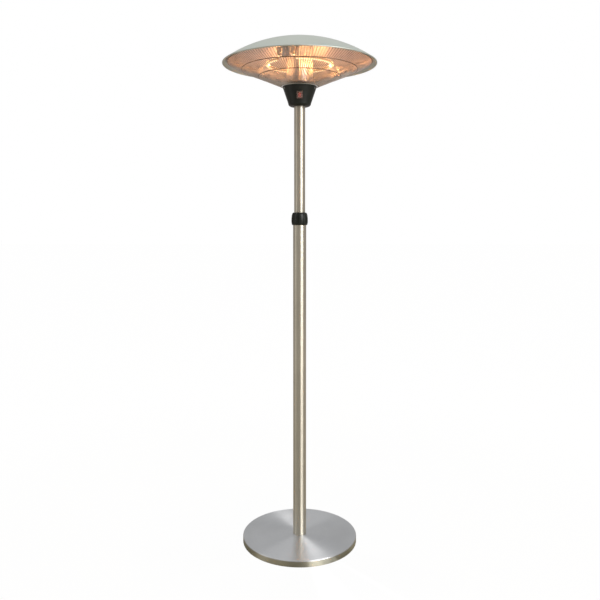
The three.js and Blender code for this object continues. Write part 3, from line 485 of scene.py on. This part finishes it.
def dish_height(radius):
    return crown - sphere + math.sqrt(sphere**2 - radius**2)


def dish(first, last, drop, steps):
    points = []
    for step in range(steps + 1):
        radius = first + (last - first) * step / steps
        points.append((radius, dish_height(radius) - drop))
    return points


skin = 1.0 * MM
outline = dish(rod_hole, edge, 0, 48)
outline += arc(edge, dish_height(edge) - bead, bead, 80, -180, 12)
outline += dish(rod_hole, edge - 2 * bead, skin, 48)[::-1]
outline.append(outline[0])
hood = spun("spun_hood", outline, 256)
fit(hood, "mast", ["hood_shell"], hood_skin)

liner_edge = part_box("hood_liner")[1].x
gap = 1.2 * MM
outline = dish(rod_hole, liner_edge, gap, 48) + dish(rod_hole, liner_edge, gap + 0.8 * MM, 48)[::-1]
outline.append(outline[0])
liner = spun("polished_liner", outline, 256)
fit(liner, "mast", ["hood_liner"], liner_skin)

# %% [markdown]
# ## Neck
# The neck is a moulded cone with a rounded lower edge. It is hollow, with a thin wall, as a moulding is.

# %% Neck housing
neck_low, neck_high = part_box("neck_housing")
neck_top = neck_high.z
neck_foot = neck_low.z
neck_radius = neck_high.x
low_radius = 44.6 * MM
floor_radius = 31 * MM
round_height = 12 * MM
wall = 2.6 * MM
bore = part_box("upper_tube")[1].x + SLIP


def neck_section(inset):
    points = [(neck_radius - inset, neck_top)]
    for step in range(13):
        angle = math.radians(-90 * step / 12)
        points.append(
            (
                floor_radius + (low_radius - inset - floor_radius) * math.cos(angle),
                neck_foot + round_height + (round_height - inset) * math.sin(angle),
            )
        )
    points.append((bore, neck_foot + inset))
    return points


outline = neck_section(0) + neck_section(wall)[::-1]
outline.append(outline[0])
neck = spun("moulded_neck", outline, 128)
fit(neck, "mast", ["neck_housing"], black_plastic)

# %% [markdown]
# ## Trim ring, heat ring and column
# A bright ring closes the neck, with a black ring on it, and a polished column rises to the hood.

# %% Rings and column
low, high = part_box("trim_ring")
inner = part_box("centre_column")[1].x + SLIP
half = (high.z - low.z) / 2
outline = [(inner, low.z)] + arc(high.x - half, low.z + half, half, -90, 90, 8)
outline += [(inner, high.z), (inner, low.z)]
trim = spun("rounded_trim_ring", outline, 128)
fit(trim, "mast", ["trim_ring"], trim_skin)

low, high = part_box("heat_ring")
heat = spun("enamelled_heat_ring", ring_outline(inner, high.x, low.z, high.z), 128)
soften_edges(heat, 0.6 * MM)
fit(heat, "mast", ["heat_ring"], black_enamel)

low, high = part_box("centre_column")
column = spun("polished_column_tube", ring_outline(high.x - 0.8 * MM, high.x, low.z, high.z), 128)
fit(column, "mast", ["centre_column"], column_skin)

# %% [markdown]
# ## Guard
# The guard is a cone of about 150 fine wires on four rings. One wire is modelled as a thin bar that
# follows the cone, and an Array modifier turns copies of it about the axis.

# %% Guard
guard_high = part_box("guard")[1]
ring_wire = 1.5 * MM
spoke_wire = 1.3 * MM
WIRES = 150
guard_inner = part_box("trim_ring")[1].x + ring_wire + SLIP
guard_outer = guard_high.x - ring_wire
guard_foot = neck_top + 2.3 * MM
guard_top = guard_high.z - ring_wire


def guard_point(share):
    belly = 3 * MM * math.sin(math.pi * share**2.4)
    return (
        guard_inner + (guard_outer - guard_inner) * share + 0.4 * belly,
        guard_foot + (guard_top - guard_foot) * share - 0.9 * belly,
    )


def guard_spoke():
    """One wire in the plane of X and Z, extruded from point to point."""
    shares = [0, 0.35, 0.6, 0.8, 0.92, 1]
    points = [guard_point(share) for share in shares]
    first, second = points[0], points[1]
    slope = math.atan2(second[1] - first[1], second[0] - first[0])
    deselect_all()
    bpy.ops.mesh.primitive_circle_add(
        vertices=6, radius=spoke_wire, fill_type="NGON", location=(first[0], 0, first[1]),
        rotation=(0, math.pi / 2 - slope, 0),
    )
    spoke = bpy.context.object
    spoke.name = "guard_spoke"
    bpy.ops.object.mode_set(mode="EDIT")
    bpy.ops.mesh.select_all(action="SELECT")
    for before, after in zip(points, points[1:]):
        step = (after[0] - before[0], 0, after[1] - before[1])
        bpy.ops.mesh.extrude_region_move(
            TRANSFORM_OT_translate={"value": step, "orient_type": "GLOBAL"}
        )
    close_mesh(60)
    return spoke


def apply_place(piece):
    deselect_all()
    piece.select_set(True)
    bpy.context.view_layer.objects.active = piece
    bpy.ops.object.transform_apply(location=True, rotation=True, scale=True)


def join(name, pieces):
    deselect_all()
    for piece in pieces:
        piece.select_set(True)
    bpy.context.view_layer.objects.active = pieces[0]
    bpy.ops.object.join()
    pieces[0].name = name
    return pieces[0]


spoke = guard_spoke()
apply_place(spoke)
turner = bpy.data.objects.new("turner", None)
turner.rotation_euler = (0, 0, math.tau / WIRES)
bpy.context.scene.collection.objects.link(turner)
bpy.context.view_layer.update()
apply_modifier(
    spoke, "ARRAY", count=WIRES, use_relative_offset=False, use_object_offset=True, offset_object=turner
)
bpy.data.objects.remove(turner)
rings = []
for share in (0, 0.42, 0.73, 1):
    radius, height = guard_point(share)
    deselect_all()
    bpy.ops.mesh.primitive_torus_add(
        major_radius=radius, minor_radius=ring_wire, major_segments=160, minor_segments=8,
        location=(0, 0, height),
    )
    guard_ring = bpy.context.object
    bpy.ops.object.shade_smooth()
    apply_place(guard_ring)
    rings.append(guard_ring)
spoke.name = "wire_guard"
fit(spoke, "mast", ["guard"], bright_wire)
fit(join("guard_rings", rings), "mast", ["guard"], ring_steel)

# %% [markdown]
# ## Lamp
# The lamp is a quartz tube bent into a ring, with a gap where its ends turn up into ceramic caps. It
# glows yellow-white, and most at its upper and lower walls. The glow fades as the ends turn up, because
# a real lamp's ends stay cooler.

# %% Lamp
lamp_low, lamp_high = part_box("lamp_tube")
lamp_radius = 6.5 * MM
lamp_circle = lamp_high.x - lamp_radius
lamp_level = lamp_low.z + lamp_radius


def lamp_glow():
    finish = Finish("glowing_quartz", Roughness=0.1, Base_Color=(0.42, 0.30, 0.18, 1))
    height = finish.height()
    away = finish.math("ABSOLUTE", finish.math("SUBTRACT", height, lamp_level))
    coil = finish.noise(finish.coordinates, 300.0, 2.0)
    wall_glow = finish.span(away, 0.0, 1.0, 0.3 * lamp_radius, 0.9 * lamp_radius)
    colour = finish.blend(wall_glow, (1.0, 0.50, 0.16), (1.0, 0.84, 0.50))
    strength = finish.sum(finish.span(wall_glow, 0.25, 1.5), finish.span(coil, -0.15, 0.15, 0.3, 0.7))
    hot = finish.span(height, 1.0, 0.0, lamp_level + 1.05 * lamp_radius, lamp_level + 2.0 * lamp_radius)
    finish.set(
        Emission_Color=colour,
        Emission_Strength=finish.math("MULTIPLY", strength, hot),
        Alpha=finish.span(hot, 0.25, 1.0),
    )
    return finish.material


quartz = lamp_glow()
for name in ("lamp_tube", "lamp_filament"):
    nodes[name].data.materials.clear()
    nodes[name].data.materials.append(quartz)
print("lamp ring", round(lamp_circle, 4), "m in radius")

# %% [markdown]
# ## Clamp collar
# The collar is a barrel with ten finger flutes. It is spun plain, and each flute is then pressed in: the
# columns of vertices next to its middle are scaled towards the axis, in passes that get narrower.

# %% Clamp collar
collar_low, collar_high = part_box("clamp_collar")
collar_height = collar_high.z - collar_low.z
collar_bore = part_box("upper_tube")[1].x + 0.6 * MM
collar_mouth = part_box("lower_tube")[1].x + 0.3 * MM
barrel = [
    (0.0, 29.0), (0.03, 30.6), (0.1, 31.9), (0.2, 32.8), (0.35, 33.1), (0.55, 32.7), (0.72, 31.9),
    (0.85, 30.6), (0.94, 28.8), (0.98, 27.4), (1.0, 26.0),
]
outline = [(radius * MM, collar_low.z + share * collar_height) for share, radius in barrel]
mouth_top = collar_low.z + 14 * MM
outline += [
    (collar_bore, collar_high.z), (collar_bore, collar_high.z - 8 * MM),
    (collar_mouth, mouth_top), (collar_mouth, collar_low.z), outline[0],
]
collar = spun("fluted_collar", outline, 160, 60)


def press_flutes(piece, count, outside, passes):
    """Scales the columns of vertices within an angle of each flute's middle, for each (angle, scale)."""
    deselect_all()
    piece.select_set(True)
    bpy.context.view_layer.objects.active = piece
    for half_angle, scale in passes:
        for vertex in piece.data.vertices:
            turn = math.degrees(math.atan2(vertex.co.y, vertex.co.x)) % (360 / count)
            away = min(turn, 360 / count - turn)
            radius = math.hypot(vertex.co.x, vertex.co.y)
            vertex.select = away < half_angle and radius > outside
        bpy.ops.object.mode_set(mode="EDIT")
        bpy.ops.mesh.select_mode(type="VERT")
        bpy.ops.transform.resize(value=(scale, scale, 1), center_override=(0, 0, 0))
        bpy.ops.object.mode_set(mode="OBJECT")


def clear_selection(piece):
    for item in (*piece.data.vertices, *piece.data.edges, *piece.data.polygons):
        item.select = False


clear_selection(collar)
press_flutes(collar, 10, 27.2 * MM, [(10.5, 0.992), (8.5, 0.982), (6.2, 0.976), (3.6, 0.98)])
bpy.ops.object.shade_smooth_by_angle(angle=math.radians(50))
fit(collar, "collar", ["clamp_collar"], black_plastic)

# %% [markdown]
# ## Switch
# The switch sits on the cone's front: a frame, a red rocker lit from behind, and a clear boot that keeps
# rain out. They are modelled upright at the origin and then laid on the cone.


# %% Switch
def press_face(piece, direction, thickness, depth):
    """Insets the faces that look in a direction, and pushes them in."""
    clear_selection(piece)
    for face in piece.data.polygons:
        face.select = face.normal.dot(direction) > 0.9
    bpy.ops.object.mode_set(mode="EDIT")
    bpy.ops.mesh.select_mode(type="FACE")
    bpy.ops.mesh.inset(thickness=thickness)
    push = tuple(-depth * axis for axis in direction)
    bpy.ops.mesh.extrude_region_move(TRANSFORM_OT_translate={"value": push})
    bpy.ops.object.mode_set(mode="OBJECT")


def box_piece(name, low_corner, high_corner):
    """A box between two corners, with its size in its mesh."""
    deselect_all()
    centre = [(a + b) / 2 for a, b in zip(low_corner, high_corner)]
    bpy.ops.mesh.primitive_cube_add(size=1, location=centre)
    piece = bpy.context.object
    piece.name = name
    piece.scale = [b - a for a, b in zip(low_corner, high_corner)]
    apply_place(piece)
    return piece


cone_tilt = math.atan2(neck_radius - low_radius, neck_top - neck_foot - round_height)
switch_drop = 38.5 * MM


def cone_point(drop):
    """Moves the origin to the cone's front, a drop below its upper edge, and leans it with the cone."""
    place = Matrix.Translation((0, -(neck_radius - drop * math.tan(cone_tilt)), neck_top - drop))
    return place @ Matrix.Rotation(cone_tilt, 4, "X")


switch_place = cone_point(switch_drop)


def lay_down(piece, place=switch_place):
    """Moves a piece made at the origin to its place, which goes into its mesh."""
    piece.matrix_world = place
    apply_place(piece)


frame_piece = box_piece("switch_frame", (-12 * MM, -2.6 * MM, -15 * MM), (12 * MM, 10 * MM, 15 * MM))
press_face(frame_piece, Vector((0, -1, 0)), 5.5 * MM, 6.5 * MM)
soften_edges(frame_piece, 0.8 * MM, 3)
lay_down(frame_piece)
fit(frame_piece, "mast", ["switch_body"], black_plastic)

red_glow = grained("lit_red_rocker", (0.22, 0.014, 0.01), 0.25, 600.0, 0.05)
red_shader = red_glow.node_tree.nodes["Principled BSDF"]
red_shader.inputs["Emission Color"].default_value = (1.0, 0.03, 0.02, 1)
red_shader.inputs["Emission Strength"].default_value = 0.1

lever = box_piece("rocker_lever", (-5.5 * MM, -5 * MM, -8.5 * MM), (5.5 * MM, 3 * MM, 8.5 * MM))
bpy.ops.object.mode_set(mode="EDIT")
bpy.ops.mesh.select_all(action="SELECT")
bpy.ops.mesh.bisect(plane_co=(0, 0, 0), plane_no=(0, 0, 1))
bpy.ops.object.mode_set(mode="OBJECT")
clear_selection(lever)
for vertex in lever.data.vertices:
    vertex.select = abs(vertex.co.z) < 0.1 * MM and vertex.co.y < 0
bpy.ops.object.mode_set(mode="EDIT")
bpy.ops.mesh.select_mode(type="VERT")
bpy.ops.transform.translate(value=(0, 1.6 * MM, 0))
bpy.ops.object.mode_set(mode="OBJECT")
clear_selection(lever)
for vertex in lever.data.vertices:
    vertex.select = vertex.co.y > 2 * MM
bpy.ops.object.mode_set(mode="EDIT")
bpy.ops.transform.resize(value=(1, 1, 0.55), center_override=(0, 3 * MM, 0))
bpy.ops.object.mode_set(mode="OBJECT")
soften_edges(lever, 0.6 * MM, 3, 25)
lay_down(lever, switch_place @ Matrix.Rotation(math.radians(10), 4, "X"))
fit(lever, "rocker", ["switch_rocker"], red_glow)

boot = box_piece("clear_boot", (-10.5 * MM, -10.8 * MM, -13.5 * MM), (10.5 * MM, -2.7 * MM, 13.5 * MM))
clear_selection(boot)
for item in boot.data.edges:
    first, second = (boot.data.vertices[i].co for i in item.vertices)
    item.select = abs(first.y - second.y) > MM
bpy.ops.object.mode_set(mode="EDIT")
bpy.ops.mesh.select_mode(type="EDGE")
bpy.ops.mesh.bevel(offset=5 * MM, segments=6, affect="EDGES")
bpy.ops.object.mode_set(mode="OBJECT")
clear_selection(boot)
for face in boot.data.polygons:
    face.select = face.normal.y > 0.9
bpy.ops.object.mode_set(mode="EDIT")
bpy.ops.mesh.select_mode(type="FACE")
bpy.ops.mesh.delete(type="FACE")
bpy.ops.object.mode_set(mode="OBJECT")
soften_edges(boot, 2 * MM, 4, 50)
apply_modifier(boot, "SOLIDIFY", thickness=0.8 * MM, offset=-1)
bpy.ops.object.mode_set(mode="EDIT")
bpy.ops.mesh.select_mode(type="VERT")
close_mesh(50)
lay_down(boot)

silicone = Finish("clear_silicone", Roughness=0.22, IOR=1.41, Alpha=0.14)
milk = silicone.noise(silicone.coordinates, 120.0, 2.0)
silicone.set(
    Base_Color=silicone.ramp(milk, (0.3, (0.42, 0.26, 0.22)), (0.7, (0.52, 0.34, 0.30))),
    Roughness=silicone.span(milk, 0.14, 0.24, 0.3, 0.7),
)
fit(boot, "mast", ["switch_boot"], silicone.material)

# %% [markdown]
# ## Screws, washer, nut and gland
# Four pan-head screws hold the neck on its carrier. A washer and a domed nut close the hood's crown. A
# rubber gland marks the place at the foot's back where a mains lead would come in.


# %% Screws
def on_cone(degrees, drop):
    """A place for a screw, which is made upright: turned round the cone and laid with its head outwards."""
    round_cone = Matrix.Rotation(math.radians(degrees), 4, "Z")
    return round_cone @ cone_point(drop) @ Matrix.Rotation(math.radians(90), 4, "X")


shank = 1.9 * MM
shank_end = -8 * MM
head_radius = 4 * MM
head_foot = 0.6 * MM
head_edge = 1.2 * MM
section = [
    (0, shank_end), (shank, shank_end), (shank, head_foot),
    (head_radius, head_foot), (head_radius, head_edge),
]
section += arc(0, -1.4 * MM, head_radius, 40, 75, 5)
section += [(0.8 * MM, 1.2 * MM), (0, 1.0 * MM)]
for i, degrees in enumerate((64, 116, -116, -64)):
    screw = spun("pan_head_screw_" + str(i + 1), section, 24, 40)
    lay_down(screw, on_cone(degrees, 8 * MM))
    fit(screw, "mast", ["neck_screw_" + str(i + 1)], dark_zinc)

# %% Crown
low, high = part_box("hood_washer")
washer = spun("crown_washer", ring_outline(rod_hole, high.x, low.z, high.z), 64)
soften_edges(washer, 0.3 * MM)
fit(washer, "mast", ["hood_washer"], zinc)
low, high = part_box("cap_nut")
nut_radius = 8 * MM
nut_edge = 0.6 * MM
nut_height = 6 * MM
thread_top = low.z + 9 * MM
dome_radius = 6.5 * MM
outline = [
    (0, thread_top), (rod_hole, thread_top), (rod_hole, low.z), (nut_radius - nut_edge, low.z),
    (nut_radius, low.z + nut_edge), (nut_radius, low.z + nut_height - nut_edge),
    (nut_radius - nut_edge, low.z + nut_height),
]
outline += arc(0, high.z - dome_radius, dome_radius, 5, 90, 10)
nut = spun("domed_nut", outline, 48)
fit(nut, "mast", ["cap_nut"], zinc)

# %% Gland
gland_low, gland_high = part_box("cable_gland")
gland_height = (gland_low.z + gland_high.z) / 2
start = gland_high.y
lead_hole = 3.6 * MM
groove = 6 * MM
flange = 8 * MM
outline = [
    (lead_hole, 0), (5.2 * MM, 0), (7.2 * MM, -4 * MM), (flange, -6.4 * MM), (flange, -8.6 * MM),
    (groove, -8.8 * MM), (groove, -11 * MM), (flange, -11.4 * MM), (flange, -13 * MM),
    (lead_hole, -13 * MM), (lead_hole, 0),
]
gland = spun("rubber_gland", outline, 40)
backwards = Matrix.Rotation(math.radians(-90), 4, "X")
lay_down(gland, Matrix.Translation((0, start, gland_height)) @ backwards)
fit(gland, "stand", ["cable_gland"], rubber)

# %% [markdown]
# ## Sheet and ceramic pieces of the head
# The lamp's bracket, its two caps and the guard's hooks keep the CAD shape. Real sheet and ceramic have no
# razor edges, so a copy of each is merged, cleared of flat edges, and softened with a bevel.


# %% Softened copies
def softened(node, name, width, angle=30):
    """A merged, bevelled copy of a CAD node."""
    deselect_all()
    piece = nodes[node].copy()
    piece.data = nodes[node].data.copy()
    piece.name = name
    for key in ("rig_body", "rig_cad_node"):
        del piece[key]
    piece.parent = None
    bpy.context.scene.collection.objects.link(piece)
    piece.select_set(True)
    bpy.context.view_layer.objects.active = piece
    bpy.ops.object.mode_set(mode="EDIT")
    bpy.ops.mesh.select_all(action="SELECT")
    bpy.ops.mesh.remove_doubles(threshold=0.002 * MM)
    bpy.ops.mesh.dissolve_limited(angle_limit=math.radians(3))
    bpy.ops.object.mode_set(mode="OBJECT")
    soften_edges(piece, width, 2, angle)
    return piece


for node, name, slot_name, material in (
    [("lamp_bracket", "sheet_bracket", "plain_steel", zinc)]
    + [("lamp_cap_" + str(i), "ceramic_cap_" + str(i), "ceramic", ceramic) for i in (1, 2)]
    + [("guard_hook_" + str(i), "sheet_hook_" + str(i), "guard_wire", bright_wire) for i in (1, 2, 3)]
):
    fit(softened(node, name, 0.35 * MM, 50), "mast", [node], material)

# %% [markdown]
# ## CAD nodes that stay
# Small and hidden pieces are shown as the CAD has them, with the finishes from above.

# %% Finishes of the CAD nodes
KEPT = {
    "foot_pan": zinc, "foot_ballast": concrete, "pole_plug": zinc,
    "pole_bolt": zinc, "pole_bolt_washer": zinc, "clamp_body": grey_nylon, "tail_bush": grey_nylon,
    "head_carrier": zinc, "terminal_block": ceramic, "tilt_switch": black_plastic,
    "thermal_cutout": black_enamel, "tie_rod": zinc,
}
for group, count, material in (("foot_pad", 4, rubber), ("lamp_clip", 3, zinc)):
    for i in range(count):
        KEPT[group + "_" + str(i + 1)] = material
for name, material in KEPT.items():
    nodes[name].data.materials.clear()
    nodes[name].data.materials.append(material)
print(len(KEPT), "CAD nodes with a finish")

# %% [markdown]
# ## Floor
# Steel shows what stands round it, so the floor does two jobs. A Light Path node shows the camera a nearly
# white, glowing floor. Reflections and bounced light meet another one: near the axis it is painted in olive,
# sand, grey and near-white sectors, which fade into sand by 0.7 m, and from 2.2 m on it is pale. So it only
# looks plain, and a part of the bands on the tube's foot and on the foot's edge comes from its paint. One
# pale Base Color in place of the blend would make it plain.

# %% Floor
deselect_all()
bpy.ops.mesh.primitive_plane_add(size=60)
floor = bpy.context.object
floor.name = "floor"
paint = Finish("floor_paint", Roughness=0.9)


def at(degrees):
    """A turn about Z as a share of a full turn: 0.5 faces the camera, and it grows to the right."""
    return 0.5 + degrees / 360


SAND = (0.34, 0.31, 0.23)
OLIVE = (0.16, 0.14, 0.08)
east = paint.node("ShaderNodeSeparateXYZ", {0: paint.coordinates}).outputs["X"]
north = paint.node("ShaderNodeSeparateXYZ", {0: paint.coordinates}).outputs["Y"]
turn = paint.math("ARCTAN2", east, paint.math("MULTIPLY", north, -1.0))
patches = paint.ramp(
    paint.sum(paint.math("DIVIDE", turn, math.tau), 0.5),
    (0.0, SAND), (at(-60), OLIVE), (at(-50), (0.36, 0.32, 0.23)), (at(-20), (0.30, 0.27, 0.19)),
    (at(-8), OLIVE), (at(8), OLIVE), (at(11), (0.95, 0.94, 0.86)), (at(22), (0.95, 0.94, 0.86)),
    (at(25), (0.30, 0.31, 0.29)), (at(37), (0.32, 0.33, 0.31)), (at(39), (1.0, 1.0, 0.96)),
    (at(41), OLIVE), (at(60), OLIVE), (at(70), SAND), (1.0, SAND),
)
sand = paint.ramp(paint.noise(paint.coordinates, 3.0), (0.3, (0.42, 0.36, 0.25)), (0.7, (0.46, 0.40, 0.28)))
near = paint.blend(paint.span(paint.radius(), 1.0, 0.0, 0.4, 0.7), sand, patches)
paint.set(Base_Color=paint.blend(paint.span(paint.radius(), 0.0, 1.0, 1.2, 2.2), near, (0.74, 0.66, 0.62)))
pale = paint.node("ShaderNodeEmission", {"Color": (1, 1, 1, 1), "Strength": 1.014})
straight = paint.node("ShaderNodeLightPath").outputs["Is Camera Ray"]
share = paint.math("MULTIPLY", straight, 0.97)
mixed = paint.node("ShaderNodeMixShader", {0: share, 1: paint.shader.outputs[0], 2: pale.outputs[0]})
paint.tree.links.new(mixed.outputs[0], paint.tree.nodes["Material Output"].inputs["Surface"])
floor.data.materials.append(paint.material)
floor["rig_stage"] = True
print("floor ready")

# %% [markdown]
# ## Room
# The room is a background that changes with direction, as cards and flags round a metal object do in a
# studio: dark towards the camera, bright on the camera's right, grey and khaki elsewhere, and grey above.
# The camera sees plain white instead.

# %% Room
world = bpy.data.worlds.new("studio")
bpy.context.scene.world = world
world.use_nodes = True
tree = world.node_tree
tree.nodes.clear()
direction = tree.nodes.new("ShaderNodeTexCoord").outputs["Generated"]
parts = tree.nodes.new("ShaderNodeSeparateXYZ")
tree.links.new(direction, parts.inputs[0])


def world_math(operation, *values):
    made = tree.nodes.new("ShaderNodeMath")
    made.operation = operation
    for i, value in enumerate(values):
        if isinstance(value, bpy.types.NodeSocket):
            tree.links.new(value, made.inputs[i])
        else:
            made.inputs[i].default_value = value
    return made.outputs[0]


def world_ramp(value, stops):
    """A colour ramp from (place, colour) stops, in the world's own graph."""
    made = tree.nodes.new("ShaderNodeValToRGB")
    tree.links.new(value, made.inputs["Fac"])
    elements = made.color_ramp.elements
    while len(elements) < len(stops):
        elements.new(0.5)
    for element, (place, colour) in zip(elements, stops):
        element.position = place
        element.color = (*colour, 1)
    return made.outputs["Color"]


# The turn about Z, from the camera's side, growing to the right: 0.5 is straight at the camera.
turn = world_math("ARCTAN2", parts.outputs["X"], world_math("MULTIPLY", parts.outputs["Y"], -1.0))
share = world_math("ADD", world_math("DIVIDE", turn, math.tau), 0.5)
GREY = (0.27, 0.245, 0.22)
KHAKI = (0.23, 0.20, 0.135)
DARK = (0.07, 0.058, 0.025)
BRIGHT = (1.0, 0.96, 0.86)
walls = world_ramp(
    share,
    [
        (0.0, (0.5, 0.5, 0.5)), (at(-120), GREY), (at(-95), KHAKI), (at(-60), (0.30, 0.265, 0.21)),
        (at(-24), KHAKI), (at(-14), DARK), (at(5), DARK), (at(12), BRIGHT), (at(56), BRIGHT),
        (at(62), (0.46, 0.47, 0.44)), (at(86), (0.42, 0.43, 0.41)), (at(94), KHAKI), (at(125), GREY),
        (1.0, (0.5, 0.5, 0.5)),
    ],
)
above = world_ramp(
    world_math("ADD", world_math("MULTIPLY", parts.outputs["Z"], 0.5), 0.5),
    [(0.5, (0, 0, 0)), (0.75, (1, 1, 1))],
)
room = tree.nodes.new("ShaderNodeMix")
room.data_type = "RGBA"
tree.links.new(above, room.inputs[0])
tree.links.new(walls, room.inputs[6])
room.inputs[7].default_value = (0.54, 0.55, 0.56, 1)
path = tree.nodes.new("ShaderNodeLightPath")
seen = tree.nodes.new("ShaderNodeMix")
seen.data_type = "RGBA"
tree.links.new(path.outputs["Is Camera Ray"], seen.inputs[0])
tree.links.new(room.outputs[2], seen.inputs[6])
seen.inputs[7].default_value = (1, 1, 1, 1)
background = tree.nodes.new("ShaderNodeBackground")
tree.links.new(seen.outputs[2], background.inputs["Color"])
output = tree.nodes.new("ShaderNodeOutputWorld")
tree.links.new(background.outputs[0], output.inputs["Surface"])
print("room ready,", len(tree.nodes), "nodes")

# %% [markdown]
# ## Lights
# Three soft boxes light the heater. The key, the strongest, stands at the front right, a wide one hangs
# overhead, and a weak one fills the left.


# %% Soft boxes
def soft_box(name, place, target, width, height, power):
    light = bpy.data.lights.new(name, "AREA")
    light.shape = "RECTANGLE"
    light.size = width
    light.size_y = height
    light.energy = power
    made = bpy.data.objects.new(name, light)
    made.location = place
    direction = [t - p for t, p in zip(target, place)]
    made.rotation_euler = Vector(direction).to_track_quat("-Z", "Y").to_euler()
    bpy.context.scene.collection.objects.link(made)
    made.visible_camera = False
    return made


soft_box("key", (2.41, -2.59, 2.6), (0, 0, 1.0), 2.6, 2.2, 108)
soft_box("top", (0, 1.0, 5.0), (0, 0, 0), 5, 5, 26)
soft_box("fill", (-3.4, -1.0, 1.6), (0, 0, 1.0), 1.5, 2.5, 8)
print("soft boxes ready")

# %% [markdown]
# ## Glow of the lamp
# The lamp's own surface is too dim and thin to light the lining, so small point lights stand along its
# ring and do that work, more weakly on the last third. They ride the mast with the lamp.

# %% Glow of the lamp
GLOWS = 36
RING_START = -6
RING_TURN = 323
WEAK_FROM = math.radians(200)  # the last third of the ring glows less
for i in range(GLOWS):
    angle = math.radians(RING_START + RING_TURN * (i + 0.5) / GLOWS)
    glow = bpy.data.lights.new("glow_" + str(i), "POINT")
    glow.energy = 0.10 if angle > WEAK_FROM else 0.19
    glow.color = (1.0, 0.46, 0.16)
    glow.shadow_soft_size = 0.01
    made = bpy.data.objects.new(glow.name, glow)
    made.location = (lamp_circle * math.sin(angle), -lamp_circle * math.cos(angle), lamp_level)
    made.visible_camera = False
    bpy.context.scene.collection.objects.link(made)
    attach(made, "mast")
print(GLOWS, "glow lights")

# %% [markdown]
# ## Sizes
# The finer model is meant to fill the same box as the CAD model, and its box is printed.

# %% Sizes
low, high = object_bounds()
print("visual model", [round(v, 4) for v in (*low, *high)])
